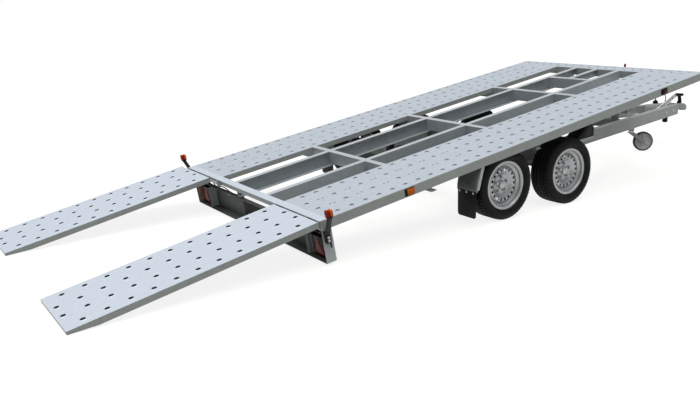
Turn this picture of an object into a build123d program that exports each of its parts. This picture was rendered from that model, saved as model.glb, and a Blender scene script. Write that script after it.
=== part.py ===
"""Tilting-bed car carrier trailer, parked on its jockey wheel with the bed tipped and the ramps down.

Millimetres. +X points forward to the coupling, +Y to the left, +Z up. The origin is on the ground,
midway between the ramp tips and the coupling's nose. The trailer is drawn from a point midway between
its axles and moved there at the end. The bed is drawn level in its own frame (x forward from the rear
bar's front edge, z up from the track surface) and then tipped about its pivot. A ramp is drawn flush with
the bed, then lowered.
"""
import os
from math import asin, atan, atan2, cos, degrees, hypot, pi, radians, sin

from build123d import *

# Wheels and axles
WHEEL_BASE = 690.0
TYRE_D = 525.0
TYRE_W = 195.0
TYRE_TREAD_W = 150.0
TYRE_SHOULDER = 18.0
SHOULDER_REACH = 0.8
SHOULDER_MIDDLE = (0.32, 0.45)
# Where the wall is widest, as a share of its height above the bead seat
TYRE_BULGE = 95 / 195
RIM_SEAT_D = 330.0
RIM_FLANGE_D = 365.0
RIM_W = 155.0
RIM_WALL = 4.0
RIM_WELL_D = 290.0
WHEEL_Y = 926.0
HUB_FACE = 28.0
DISC_T = 6.0
# (radius, y) from the hub outwards: the disc's outer face, and its inner face on the way back
DISC_FACE = ((82.0, 28.0), (100.0, 48.0), (128.0, 52.0), (143.0, 36.0))
DISC_BACK = ((143.0, 28.0), (124.0, 42.0), (104.0, 38.0), (88.0, 22.0))
# y of the rim's steps between its bead seats and its well, outer and inner side
RIM_STEPS = ((50.0, 38.0), (-34.0, -20.0))
DRUM_D = 230.0
DRUM_IN = 95.0
DRUM_W = 75.0
DRUM_CHAMFER = 10.0
DRUM_GAP = 6.0
HUB_D = 130.0
SPINDLE_D = 35.0
SPINDLE_GAP = 1.0
SPINDLE_END = 2.0
BORE_END = 6.0
AXLE_TUBE = 95.0
AXLE_WALL = 6.0
ARM_LENGTH = 140.0
ARM_T = 45.0
ARM_W = 80.0
ARM_Y = 780.0
ARM_CAP_T = 6.0
BACKPLATE_T = 8.0

# Chassis and drawbar
RAIL_H = 108.0
RAIL_W = 60.0
RAIL_WALL = 4.0
RAIL_Y = 660.0
RAIL_REAR_X = -520.0
RAIL_KINK_X = 514.0
DRAWBAR_TIP_X = 3160.0
DRAWBAR_TIP_Y = 90.0
CROSS_TUBE = 80.0
TUBE_WALL = 5.0
REAR_TUBE_X = -470.0
REAR_TUBE_H = 60.0
REST_TUBE_X = 1880.0
REST_POST = 50.0
BUFFER_T = 18.0
REST_GAP = 0.5

# Bed pivot
PIVOT_X = 275.0
PIVOT_Z = 470.0
PIVOT_BED_X = 2208.0
PIVOT_DROP = 177.0
TILT = 8.4
PIN_D = 30.0
PIN_GAP = 0.5
PIN_END = 8.0
LUG_T = 16.0
LUG_GAP = 6.0
CHEEK_T = 11.0
LUG_R = 28.0
LUG_W = 80.0

# Bed
BED_L = 4002.0
BED_HALF_W = 1050.0
PLATE_T = 4.0
TRACK_IN_Y = 491.0
TRACK_FOLD = 40.0
SIDE_H = 65.0
SIDE_T = 5.0
SIDE_FLANGE = 12.0
FLANGE_STOP_X = (1150.0, 2650.0)
BEAM_Y = 252.0
BEAM_W = 50.0
BEAM_H = 120.0
BEAM_T = 5.0
CROSS_X = (861.0, 1893.0, 2963.0)
SHORT_CROSS_X = 3468.0
CROSS_W = 45.0
CROSS_H = 100.0
FRONT_W = 150.0
FRONT_H = 70.0
REAR_BAR_W = 60.0
REAR_BAR_H = 60.0
REAR_WEB_X = -28.0
REAR_WEB_T = 6.0

# Ramps
RAMP_L = 1580.0
RAMP_W = 572.0
RAMP_H = 40.0
RAMP_TIP_T = 20.0
RAMP_BEVEL = 170.0
RAMP_SKIN = 4.0
RAMP_RIBS = 4
RAMP_RIB_T = 6.0
RAMP_NOSE = 30.0
RAMP_GAP = 14.0
RAMP_Y = {"left": 870.0, "right": -762.0}
ROD_X = -54.0
ROD_Z = -38.0
ROD_D = 20.0
ROD_GAP = 0.8
HOOK_R = 20.0
HOOK_T = 12.0
HOOK_Y = 100.0
HOOK_ROOT = 40.0
HOOK_DROP = 14.0
ROD_BRACKET_T = 8.0
ROD_BRACKET_REACH = 12.0
ROD_BRACKET_Y = (480.0, 885.0, 1030.0)
GROUND_GAP = 0.5

# Mudguards and flaps
GUARD_R = 330.0
GUARD_T = 4.0
GUARD_LEAN = 8.0
FLAP_LAP = 6.0
GUARD_IN_Y = 840.0
GUARD_OUT_Y = 1040.0
GUARD_LOW_Z = -240.0
GUARD_HIGH_Z = -70.0
FLAP_T = 6.0
FLAP_L = 200.0
FLAP_W = 190.0
STAY_W = 25.0
STAY_FOOT = 15.0
STAY_RISE_X = 85.0
STAY_TOP = 30.0

# Light board
BOARD_REAR_X = -44.0
BOARD_INSET = 30.0
BOARD_D = 76.0
BOARD_LOW_Z = -308.0
BOARD_HIGH_Z = -135.0
BOARD_T = 4.0
BOARD_HANGER_W = 40.0
BOARD_LIP = 28.0
BOARD_SETBACK = 6.0
PLATE_RAISE = 30.0
LAMP_W = 240.0
LAMP_H = 150.0
LAMP_D = 45.0
NUMBER_PLATE = (520.0, 110.0, 3.0)
ARM_X = -13.6
ARM_BASE_Z = (-165.0, -90.0)
ARM_BASE_W = 36.0
ARM_BASE_T = 8.0
ARM_ROOT = 20.0
ARM_SECTION = (28.0, 18.0)
ARM_LEAN_X = 31.0
MARKER_REACH = 100.0
ARM_TOP_Z = 42.0
LAMP_HEAD = (44.0, 40.0, 52.0)
SIDE_MARKER = (80.0, 12.0, 50.0)
SIDE_MARKER_X = (650.0, 3420.0)

# Coupling, overrun housing and handbrake
HOUSING_X = (2760.0, 3120.0)
HOUSING_HALF_W = 45.0
HOUSING_Z = (312.0, 428.0)
GAITER_L = 100.0
GAITER_D = 78.0
HEAD_NOSE_X = 3420.0
HEAD_W = 84.0
HEAD_Z = (325.0, 405.0)
BALL_D = 50.6
BALL_X = 3367.0
SOCKET_H = 38.0
HOUSING_SHOULDER = (2790.0, 2950.0, 12.0)
HOUSING_STUB = (3070.0, 30.0, 90.0)
SHAFT_Z = 376.0
SHAFT_D = 50.0
LEVER_Y = -60.0
LEVER_FROM = (2780.0, 362.0)
LEVER_TO = (3150.0, 519.0)
GRIP_TO = (3280.0, 503.0)
GRIP_D = 30.0
SHAFT_INSERT = 60.0
HANDLE_W = 28.0
HANDLE_SHAPE = (
    (-87, 0), (-32, 0), (-37, 35), (-49, 75), (-77, 107), (-132, 113),
    (-135, 100), (-92, 91), (-75, 65), (-67, 35),
)
LEVER_SECTION = (10.0, 34.0)
LEVER_PIN_D = 24.0

# Jockey wheel
JOCKEY_X = 2425.0
JOCKEY_Y = -50.0
JOCKEY_TRAIL = 125.0
JOCKEY_YAW = -36.0
JOCKEY_D = 200.0
JOCKEY_W = 50.0
JOCKEY_RIM_D = 168.0
JOCKEY_RIM_SECTION = (42.0, 6.0, 12.0)
JOCKEY_ROUND = 10.0
JOCKEY_TUBE_D = 60.0
JOCKEY_TUBE_Z = (215.0, 795.0)
JOCKEY_WALL = 3.0
JOCKEY_SLIDE_GAP = 0.3
JOCKEY_INSERT = 320.0
JOCKEY_FORK_T = 5.0
JOCKEY_CROWN = 95.0
JOCKEY_CAP_T = 8.0
CLAMP_T = 10.0
CLAMP_INSET = 25.0
CLAMP_REACH = 30.0
FORK_TOP_X = (-30.0, 32.0)
FORK_GAP = 6.0
# Corners of a fork plate round the wheel's centre, as (x, z)
FORK_FOOT = ((18.0, 6.0), (10.0, -16.0), (-12.0, -16.0))
JOCKEY_AXLE_D = 16.0
JOCKEY_BORE_D = 17.0
JOCKEY_HUB_D = 40.0
CRANK_R = 120.0
CRANK_BOSS = (9.0, 22.0)
CRANK_BAR = (18.0, 8.0)
CRANK_KNOB = (13.0, 70.0)

# Chocks
CHOCK_L = 300.0
CHOCK_H = 135.0
CHOCK_W = 110.0
CHOCK_BASE_X = (735.0, 1040.0)
CHOCK_FLOOR_Z = 395.0
CHOCK_GAP = 2.0
CHOCK_REST = 0.3
CHOCK_TIP_H = 30.0
# Corners of a chock's high end, as (distance from it, part of the height)
CHOCK_TOP = ((0.0, 0.8), (40.0, 1.0), (90.0, 1.0))
TRAY_T = 3.0
TRAY_FLOOR_T = 4.0
TRAY_FRONT_H = 95.0
TRAY_LIP_H = 18.0
TRAY_FOOT = 20.0

# Trailer lead, clipped at both ends
LEAD_D = 9.0
LEAD_ROUTE = (
    (3095, 25, 452), (3095, 25, 490), (3068, 25, 525), (3010, 25, 545), (2945, 25, 540),
    (2915, 25, 515), (2915, 25, 478),
)
GLAND_D = 22.0
PLUG_D = 54.0

AXLE_Z = TYRE_D / 2
RAIL_LOW = AXLE_Z + AXLE_TUBE / 2
RAIL_TOP = RAIL_LOW + RAIL_H
AXLE_X = {"front": WHEEL_BASE / 2, "rear": -WHEEL_BASE / 2}
SIDES = {"left": 1, "right": -1}
DRAWBAR_SLOPE = (RAIL_Y - DRAWBAR_TIP_Y) / (DRAWBAR_TIP_X - RAIL_KINK_X)
DRAWBAR_ANGLE = atan(DRAWBAR_SLOPE)
BEAM_IN, BEAM_OUT = BEAM_Y - BEAM_W / 2, BEAM_Y + BEAM_W / 2
BOARD_HALF_W = BED_HALF_W - SIDE_T - BOARD_INSET
MARKER_Y = BED_HALF_W + MARKER_REACH


def block(x0, x1, y0, y1, z0, z1):
    """A box between two corners."""
    size = (abs(x1 - x0), abs(y1 - y0), abs(z1 - z0))
    return Pos((x0 + x1) / 2, (y0 + y1) / 2, (z0 + z1) / 2) * Box(*size)


def side_block(side, x0, x1, y0, y1, z0, z1):
    """The same box on the left (+1) or the right (-1)."""
    return block(x0, x1, side * y0, side * y1, z0, z1)


def rod_along_y(radius, x, y0, y1, z):
    """A round bar across the trailer."""
    return Pos(x, (y0 + y1) / 2, z) * Rot(90, 0, 0) * Cylinder(radius, abs(y1 - y0))


def plate_xz(points, y0, y1):
    """A flat plate whose outline is given as (x, z) points, between two y planes."""
    outline = make_face(Polyline(*[(x, min(y0, y1), z) for x, z in points], close=True))
    return extrude(outline, amount=abs(y1 - y0), dir=(0, 1, 0))


def plan_prism(points, z0, z1):
    """A prism whose outline is given as (x, y) points, between two heights."""
    outline = make_face(Polyline(*[(x, y, z0) for x, y in points], close=True))
    return extrude(outline, amount=z1 - z0, dir=(0, 0, 1))


def drawbar_y(x):
    """How far out the drawbar beam's outer face stands at x."""
    return RAIL_Y if x <= RAIL_KINK_X else RAIL_Y - (x - RAIL_KINK_X) * DRAWBAR_SLOPE


def bed_tilted(shape):
    """Tip a shape drawn in the bed's frame about the pivot."""
    return Pos(PIVOT_X, 0, PIVOT_Z) * Rot(0, -TILT, 0) * Pos(-PIVOT_BED_X, 0, PIVOT_DROP) * shape


def bed_point(x, z):
    """Where a point of the bed's frame lies in the trailer's frame, as (x, z)."""
    dx, dz, turn = x - PIVOT_BED_X, z + PIVOT_DROP, radians(TILT)
    return PIVOT_X + dx * cos(turn) - dz * sin(turn), PIVOT_Z + dx * sin(turn) + dz * cos(turn)


def ramp_droop():
    """The angle by which a ramp hangs below the bed's plane so that its tip meets the ground."""
    rod_height = bed_point(ROD_X, ROD_Z)[1]
    reach = REAR_BAR_W + RAMP_GAP + RAMP_L + ROD_X
    rise = -ROD_Z - RAMP_TIP_T
    below = asin((rod_height - GROUND_GAP) / hypot(reach, rise)) + atan2(rise, reach)
    return degrees(below) - TILT


def ramp_tip_x():
    """How far back the lowered ramps' tips reach."""
    turn = radians(-ramp_droop())
    dx = -REAR_BAR_W - RAMP_GAP - RAMP_L - ROD_X
    corners = [(ROD_X + dx * cos(turn) + dz * sin(turn), ROD_Z - dx * sin(turn) + dz * cos(turn))
               for dz in (-ROD_Z, -ROD_Z - RAMP_TIP_T)]
    return min(bed_point(x, z)[0] for x, z in corners)


def ramp_lowered(shape):
    """Swing a shape drawn flush with the bed down about the hinge rod."""
    return bed_tilted(Pos(ROD_X, 0, ROD_Z) * Rot(0, -ramp_droop(), 0) * Pos(-ROD_X, 0, -ROD_Z) * shape)


def tyre(x, side):
    """A tyre as a ring with bulging walls and rounded shoulders, seated between its rim's flanges."""
    outer, seat, half, tread = TYRE_D / 2, RIM_SEAT_D / 2, TYRE_W / 2, TYRE_TREAD_W / 2
    foot, flange = RIM_W / 2 - RIM_WALL - 1, RIM_FLANGE_D / 2 + 1
    shoulder = outer - TYRE_SHOULDER
    shoulder_y = tread + TYRE_SHOULDER * SHOULDER_REACH
    bulge = seat + (outer - seat) * TYRE_BULGE
    edge = ThreePointArc((flange, foot), (bulge, half), (shoulder, shoulder_y))
    middle = [TYRE_SHOULDER * part for part in SHOULDER_MIDDLE]
    edge += ThreePointArc((shoulder, shoulder_y), (outer - middle[0], tread + middle[1]), (outer, tread))
    edge += Line((outer, tread), (outer, 0))
    edge += Line((outer, 0), (seat, 0))
    edge += Polyline((seat, 0), (seat, foot), (flange, foot))
    half_ring = revolve(make_face(edge), axis=Axis.Y)
    return Pos(x, side * WHEEL_Y, AXLE_Z) * (half_ring + mirror(half_ring, about=Plane.XZ))


def wheel(x, side):
    """Rim, disc, hub and brake drum as one turned piece, with a blind bore for the spindle."""
    seat, flange, well = RIM_SEAT_D / 2, RIM_FLANGE_D / 2, RIM_WELL_D / 2
    half, wall = RIM_W / 2, RIM_WALL
    (out_seat, out_well), (in_seat, in_well) = RIM_STEPS
    barrel = make_face(Polyline(
        (flange, half), (flange, half - wall), (seat, half - wall), (seat, out_seat), (well, out_well),
        (well, in_well), (seat, in_seat), (seat, wall - half), (flange, wall - half), (flange, -half),
        (seat - wall, -half), (seat - wall, in_seat - wall), (well - wall, in_well - wall),
        (well - wall, out_well + wall), (seat - wall, out_seat + wall), (seat - wall, half), close=True))
    back = HUB_FACE - DISC_T
    disc = make_face(Polyline((0, HUB_FACE), *DISC_FACE, *DISC_BACK, (0, back), close=True))
    bore, drum_end = SPINDLE_D / 2 + SPINDLE_GAP, DRUM_W - DRUM_IN
    drum = make_face(Polyline(
        (bore, -DRUM_IN), (DRUM_D / 2, -DRUM_IN), (DRUM_D / 2, drum_end),
        (HUB_D / 2, drum_end + DRUM_CHAMFER),
        (HUB_D / 2, back), (0, back), (0, BORE_END), (bore, BORE_END), close=True))
    solid = revolve(Plane.XY * (barrel + disc + drum), axis=Axis.Y)
    turned = solid if side > 0 else mirror(solid, about=Plane.XZ)
    return Pos(x, side * WHEEL_Y, AXLE_Z) * turned


def axle(x):
    """Rubber-sprung axle: square cross tube, trailing arms, spindles and brake backplates."""
    tube_x, end_y = x + ARM_LENGTH, ARM_Y - ARM_T
    half, inner = AXLE_TUBE / 2, AXLE_TUBE / 2 - AXLE_WALL
    shape = block(tube_x - half, tube_x + half, -end_y, end_y, AXLE_Z - half, AXLE_Z + half)
    shape -= block(tube_x - inner, tube_x + inner, -end_y, end_y, AXLE_Z - inner, AXLE_Z + inner)
    drum_y = WHEEL_Y - DRUM_IN
    for side in SIDES.values():
        arm = rod_along_y(ARM_W / 2, tube_x, side * end_y, side * ARM_Y, AXLE_Z)
        arm += rod_along_y(ARM_W / 2, x, side * end_y, side * ARM_Y, AXLE_Z)
        arm += side_block(side, x, tube_x, end_y, ARM_Y, AXLE_Z - ARM_W / 2, AXLE_Z + ARM_W / 2)
        arm += side_block(side, tube_x - half, tube_x + half, end_y, end_y + ARM_CAP_T,
                          AXLE_Z - half, AXLE_Z + half)
        arm += rod_along_y(SPINDLE_D / 2, x, side * ARM_Y, side * (WHEEL_Y + SPINDLE_END), AXLE_Z)
        arm += rod_along_y(DRUM_D / 2, x, side * (drum_y - DRUM_GAP - BACKPLATE_T),
                               side * (drum_y - DRUM_GAP), AXLE_Z)
        shape += arm
    return shape


def chassis_rail(side):
    """Box side member, straight past the axles, then bent in to the drawbar's nose."""
    def outline(inset, x_rear, x_front):
        across = (RAIL_W - inset) / cos(DRAWBAR_ANGLE)
        skew = (RAIL_W - inset) * (1 / cos(DRAWBAR_ANGLE) - 1) / DRAWBAR_SLOPE
        edge = inset / cos(DRAWBAR_ANGLE)
        edge_skew = inset * (1 / cos(DRAWBAR_ANGLE) - 1) / DRAWBAR_SLOPE
        return [
            (x_rear, side * (RAIL_Y - inset)), (RAIL_KINK_X - edge_skew, side * (RAIL_Y - inset)),
            (x_front, side * (drawbar_y(x_front) - edge)),
            (x_front, side * (drawbar_y(x_front) - across)),
            (RAIL_KINK_X - skew, side * (RAIL_Y - RAIL_W + inset)),
            (x_rear, side * (RAIL_Y - RAIL_W + inset)),
        ]
    rail = plan_prism(outline(0, RAIL_REAR_X, DRAWBAR_TIP_X), RAIL_LOW, RAIL_TOP)
    core = plan_prism(outline(RAIL_WALL, RAIL_REAR_X, DRAWBAR_TIP_X), RAIL_LOW + RAIL_WALL,
                      RAIL_TOP - RAIL_WALL)
    pocket = block(HOUSING_X[0], DRAWBAR_TIP_X + 1, -HOUSING_HALF_W, HOUSING_HALF_W, 0, RAIL_TOP + 1)
    other = side_block(-side, RAIL_KINK_X, DRAWBAR_TIP_X + 1, 0, RAIL_Y, 0, RAIL_TOP + 1)
    return rail - core - pocket - other


def cross_tubes():
    """Rear, pivot and rest tubes between the side members; the rest tube carries two posts."""
    inner_y = RAIL_Y - RAIL_W
    half = CROSS_TUBE / 2

    def tube(x, reach, low):
        height = RAIL_TOP - low if low > RAIL_LOW else REAR_TUBE_H
        outer = block(x - half, x + half, -reach, reach, low, low + height)
        inner = block(x - half + TUBE_WALL, x + half - TUBE_WALL, -reach, reach, low + TUBE_WALL,
                      low + height - TUBE_WALL)
        return outer - inner

    rear = tube(REAR_TUBE_X, inner_y, RAIL_LOW)
    pivot = tube(PIVOT_X, inner_y, RAIL_TOP - CROSS_TUBE)
    near_y, far_y = [drawbar_y(REST_TUBE_X + d) - RAIL_W / cos(DRAWBAR_ANGLE) for d in (-half, half)]
    rest = plan_prism([
        (REST_TUBE_X - half, -near_y), (REST_TUBE_X + half, -far_y),
        (REST_TUBE_X + half, far_y), (REST_TUBE_X - half, near_y)], RAIL_TOP - CROSS_TUBE, RAIL_TOP)
    rest -= block(REST_TUBE_X - half + TUBE_WALL, REST_TUBE_X + half - TUBE_WALL, -near_y, near_y,
                  RAIL_TOP - CROSS_TUBE + TUBE_WALL, RAIL_TOP - TUBE_WALL)
    level_low = PIVOT_Z + PIVOT_DROP - BEAM_H
    for side in SIDES.values():
        post = side_block(side, REST_TUBE_X - REST_POST / 2, REST_TUBE_X + REST_POST / 2,
                          BEAM_Y - REST_POST / 2, BEAM_Y + REST_POST / 2,
                          RAIL_TOP, level_low - REST_GAP - BUFFER_T)
        rest += post
    return Compound([rear, pivot, rest])


def buffers():
    """Rubber blocks that the bed's beams rest on: wedges at the rear, pads on the front posts."""
    solids = []
    level_low = PIVOT_Z + PIVOT_DROP - BEAM_H
    top = RAIL_LOW + REAR_TUBE_H
    for side in SIDES.values():
        y0, y1 = BEAM_Y - REST_POST / 2, BEAM_Y + REST_POST / 2
        solids.append(side_block(side, REST_TUBE_X - REST_POST / 2, REST_TUBE_X + REST_POST / 2, y0, y1,
                                 level_low - REST_GAP - BUFFER_T, level_low - REST_GAP))
        x0, x1 = REAR_TUBE_X - REST_POST / 2, REAR_TUBE_X + REST_POST / 2
        slope = sin(radians(TILT)) / cos(radians(TILT))
        at_pivot = PIVOT_Z + (PIVOT_DROP - BEAM_H) / cos(radians(TILT)) - REST_GAP
        heights = [at_pivot + (x - PIVOT_X) * slope for x in (x0, x1)]
        solids.append(plate_xz([(x0, top), (x1, top), (x1, heights[1]), (x0, heights[0])],
                               side * y0, side * y1))
    return Compound(solids)


def pivot_brackets():
    """Pairs of cheek plates on the pivot tube, with the pin that the bed turns on."""
    solids = []
    for side in SIDES.values():
        inner = BEAM_Y - LUG_T / 2 - LUG_GAP
        outer = BEAM_Y + LUG_T / 2 + LUG_GAP
        shape = rod_along_y(PIN_D / 2, PIVOT_X, side * (inner - CHEEK_T - PIN_END),
                            side * (outer + CHEEK_T + PIN_END), PIVOT_Z)
        for y0, y1 in ((inner - CHEEK_T, inner), (outer, outer + CHEEK_T)):
            shape += side_block(side, PIVOT_X - LUG_R, PIVOT_X + LUG_R, y0, y1, RAIL_TOP, PIVOT_Z)
            shape += rod_along_y(LUG_R, PIVOT_X, side * y0, side * y1, PIVOT_Z)
        solids.append(shape)
    return Compound(solids)


def bed_beam(side):
    """Channel beam along the bed, with the eye that takes the pivot pin below it."""
    length = BED_L - FRONT_W
    shape = side_block(side, 0, length, BEAM_IN, BEAM_OUT, -BEAM_H, 0)
    shape -= side_block(side, 0, length, BEAM_IN, BEAM_OUT - BEAM_T, -BEAM_H + BEAM_T, -BEAM_T)
    y0, y1 = BEAM_Y - LUG_T / 2, BEAM_Y + LUG_T / 2
    outline = [(PIVOT_BED_X - LUG_W / 2, -BEAM_H), (PIVOT_BED_X + LUG_W / 2, -BEAM_H),
               (PIVOT_BED_X + LUG_R, -PIVOT_DROP), (PIVOT_BED_X - LUG_R, -PIVOT_DROP)]
    shape += plate_xz(outline, side * y0, side * y1)
    shape += rod_along_y(LUG_R, PIVOT_BED_X, side * y0, side * y1, -PIVOT_DROP)
    shape -= rod_along_y(PIN_D / 2 + PIN_GAP, PIVOT_BED_X, side * y0, side * y1, -PIVOT_DROP)
    return bed_tilted(shape)


def bed_cross_members():
    """Channels across the bed on both sides of its beams, and the short one near the front."""
    solids = []

    def channel(x, y0, y1, top):
        shape = block(x - CROSS_W / 2, x + CROSS_W / 2, y0, y1, -CROSS_H, top)
        inner_x = x - CROSS_W / 2 + BEAM_T
        return shape - block(inner_x, x + CROSS_W / 2, y0, y1, -CROSS_H + BEAM_T, top - BEAM_T)

    for x in CROSS_X:
        solids.append(channel(x, -BEAM_IN, BEAM_IN, 0))
        for side in SIDES.values():
            ends = sorted((side * BEAM_OUT, side * TRACK_IN_Y))
            wing = channel(x, *ends, 0)
            ends = sorted((side * TRACK_IN_Y, side * (BED_HALF_W - SIDE_T)))
            solids.append(wing + channel(x, *ends, -PLATE_T))
    solids.append(channel(SHORT_CROSS_X, -BEAM_IN, BEAM_IN, 0))
    return bed_tilted(Compound(solids))


def front_rib():
    """T-shaped rib in the middle, between the short cross member and the front beam."""
    x0, x1 = SHORT_CROSS_X + CROSS_W / 2, BED_L - FRONT_W
    rib = block(x0, x1, -BEAM_W / 2, BEAM_W / 2, -BEAM_T, 0)
    return bed_tilted(rib + block(x0, x1, -BEAM_T / 2, BEAM_T / 2, -FRONT_H, 0))


def track(side):
    """Wheel track: a plate with its inner edge folded down. It is notched over the cross members."""
    front = BED_L - FRONT_W
    shape = side_block(side, 0, front, TRACK_IN_Y, BED_HALF_W - SIDE_T, -PLATE_T, 0)
    fold = side_block(side, 0, front, TRACK_IN_Y, TRACK_IN_Y + PLATE_T, -TRACK_FOLD, -PLATE_T)
    for x in CROSS_X:
        fold -= side_block(side, x - CROSS_W / 2, x + CROSS_W / 2, TRACK_IN_Y, TRACK_IN_Y + PLATE_T,
                           -TRACK_FOLD, -PLATE_T)
    return bed_tilted(shape + fold)


def side_rail(side):
    """Folded strip along the bed's outer edge."""
    shape = side_block(side, -REAR_BAR_W, BED_L, BED_HALF_W - SIDE_T, BED_HALF_W, -SIDE_H, 0)
    inner = BED_HALF_W - SIDE_T
    for x0, x1 in ((BOARD_REAR_X + BOARD_D, FLANGE_STOP_X[0]), (FLANGE_STOP_X[1], BED_L - FRONT_W)):
        shape += side_block(side, x0, x1, inner - SIDE_FLANGE, inner, -SIDE_H, -SIDE_H + PLATE_T)
    for x in CROSS_X:
        shape -= side_block(side, x - CROSS_W / 2, x + CROSS_W / 2, inner - SIDE_FLANGE, inner,
                            -SIDE_H, -PLATE_T)
    return bed_tilted(shape)


def front_beam():
    """Wide shallow channel across the front of the bed, open below."""
    inner = BED_HALF_W - SIDE_T
    x0 = BED_L - FRONT_W
    shape = block(x0, BED_L, -inner, inner, -FRONT_H, 0)
    shape -= block(x0 + PLATE_T, BED_L - PLATE_T, -inner, inner, -FRONT_H, -PLATE_T)
    return bed_tilted(shape)


def rear_bar():
    """Bar across the rear of the bed, with brackets and the two rods that the ramps hook on."""
    inner = BED_HALF_W - SIDE_T
    shape = block(-REAR_BAR_W, 0, -inner, inner, -BEAM_T, 0)
    web_end = BOARD_HALF_W - BOARD_T
    shape += block(REAR_WEB_X, REAR_WEB_X + REAR_WEB_T, -web_end, web_end, -REAR_BAR_H, 0)
    for side in SIDES.values():
        shape += rod_along_y(ROD_D / 2, ROD_X, side * ROD_BRACKET_Y[0], side * ROD_BRACKET_Y[-1], ROD_Z)
        for y in ROD_BRACKET_Y:
            shape += side_block(side, ROD_X - ROD_BRACKET_REACH, REAR_WEB_X, y - ROD_BRACKET_T / 2,
                                y + ROD_BRACKET_T / 2, -REAR_BAR_H, -BEAM_T)
    return bed_tilted(shape)


def ramp(name):
    """Loading ramp: a folded plate with cross ribs, a bevelled tip and two hooks over the rod."""
    centre = RAMP_Y[name]
    x1 = -REAR_BAR_W - RAMP_GAP
    x0 = x1 - RAMP_L
    y0, y1 = centre - RAMP_W / 2, centre + RAMP_W / 2
    outline = [(x0, 0), (x1, 0), (x1, -RAMP_H), (x0 + RAMP_BEVEL, -RAMP_H), (x0, -RAMP_TIP_T)]
    hollow = [(x0 + RAMP_NOSE, -RAMP_SKIN), (x1 - RAMP_SKIN, -RAMP_SKIN), (x1 - RAMP_SKIN, -RAMP_H - 1),
              (x0 + RAMP_NOSE, -RAMP_H - 1)]
    shape = plate_xz(outline, y0, y1) - plate_xz(hollow, y0 + RAMP_SKIN, y1 - RAMP_SKIN)
    pitch = (RAMP_L - RAMP_BEVEL) / (RAMP_RIBS + 1)
    for i in range(RAMP_RIBS):
        x = x1 - pitch * (i + 1)
        shape += block(x - RAMP_RIB_T / 2, x + RAMP_RIB_T / 2, y0, y1, -RAMP_H + RAMP_SKIN, 0)
    for offset in (-HOOK_Y, HOOK_Y):
        y = centre + offset
        hook = rod_along_y(HOOK_R, ROD_X, y - HOOK_T / 2, y + HOOK_T / 2, ROD_Z)
        arm = [(x1 - HOOK_ROOT, -RAMP_SKIN / 2), (x1 - RAMP_SKIN, -RAMP_SKIN / 2), (ROD_X, ROD_Z + HOOK_R),
               (ROD_X, ROD_Z - HOOK_R), (x1 - RAMP_SKIN, -RAMP_H - HOOK_DROP), (x1 - HOOK_ROOT, -RAMP_H)]
        hook += plate_xz(arm, y - HOOK_T / 2, y + HOOK_T / 2)
        hook -= rod_along_y(ROD_D / 2 + ROD_GAP, ROD_X, y - HOOK_T, y + HOOK_T, ROD_Z)
        shape += hook
    return ramp_lowered(shape)


def mudguard(side):
    """Curved guard behind the rear wheel, fixed under the track, with a hanging flap."""
    wheel_x, wheel_z = wheel_in_bed()
    angles = [asin((z - wheel_z) / GUARD_R) for z in (GUARD_HIGH_Z, GUARD_LOW_Z)]
    middle = sum(angles) / 2

    def arc(radius):
        return [(wheel_x - radius * cos(a), wheel_z + radius * sin(a))
                for a in (angles[0], middle, angles[1])]

    outer, inner = arc(GUARD_R + GUARD_T), arc(GUARD_R)
    top_x = inner[0][0] + GUARD_LEAN
    edge = ThreePointArc(*[(x, 0, z) for x, z in outer])
    edge += Line((outer[2][0], 0, outer[2][1]), (inner[2][0], 0, inner[2][1]))
    edge += ThreePointArc(*[(x, 0, z) for x, z in reversed(inner)])
    edge += Polyline((inner[0][0], 0, inner[0][1]), (top_x, 0, -PLATE_T), (top_x - GUARD_T - 2, 0, -PLATE_T),
                     (outer[0][0], 0, outer[0][1]))
    sheet = extrude(make_face(edge), amount=GUARD_OUT_Y - GUARD_IN_Y, dir=(0, 1, 0))
    sheet = Pos(0, GUARD_IN_Y, 0) * sheet
    hang = radians(TILT)
    x, z = inner[2][0], GUARD_LOW_Z + FLAP_LAP
    lean, drop = FLAP_L * sin(hang), FLAP_L * cos(hang)
    flap_y = GUARD_OUT_Y - FLAP_W
    flap = plate_xz([(x - FLAP_T, z), (x, z), (x - lean, z - drop), (x - lean - FLAP_T, z - drop)],
                    flap_y, GUARD_OUT_Y)
    shape = sheet + flap
    return bed_tilted(shape if side > 0 else mirror(shape, about=Plane.XZ))


def wheel_in_bed():
    """The rear wheel's centre in the bed's frame, at rest."""
    dx, dz, turn = AXLE_X["rear"] - PIVOT_X, AXLE_Z - PIVOT_Z, radians(TILT)
    return PIVOT_BED_X + dx * cos(turn) + dz * sin(turn), -PIVOT_DROP - dx * sin(turn) + dz * cos(turn)


def mudguard_stays():
    """Flat slanted strips that hold the guards' outer edges to the side rails."""
    wheel_x, wheel_z = wheel_in_bed()
    foot, top = GUARD_LOW_Z + STAY_FOOT, STAY_TOP - SIDE_H
    low_x = wheel_x - GUARD_R * cos(asin((foot + GUARD_T - wheel_z) / GUARD_R))
    outline = [(low_x, foot), (low_x + STAY_W, foot), (low_x + STAY_RISE_X + STAY_W, top),
               (low_x + STAY_RISE_X, top)]
    inner = BED_HALF_W - SIDE_T
    solids = [plate_xz(outline, side * GUARD_OUT_Y, side * inner) for side in SIDES.values()]
    return bed_tilted(Compound(solids))


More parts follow.
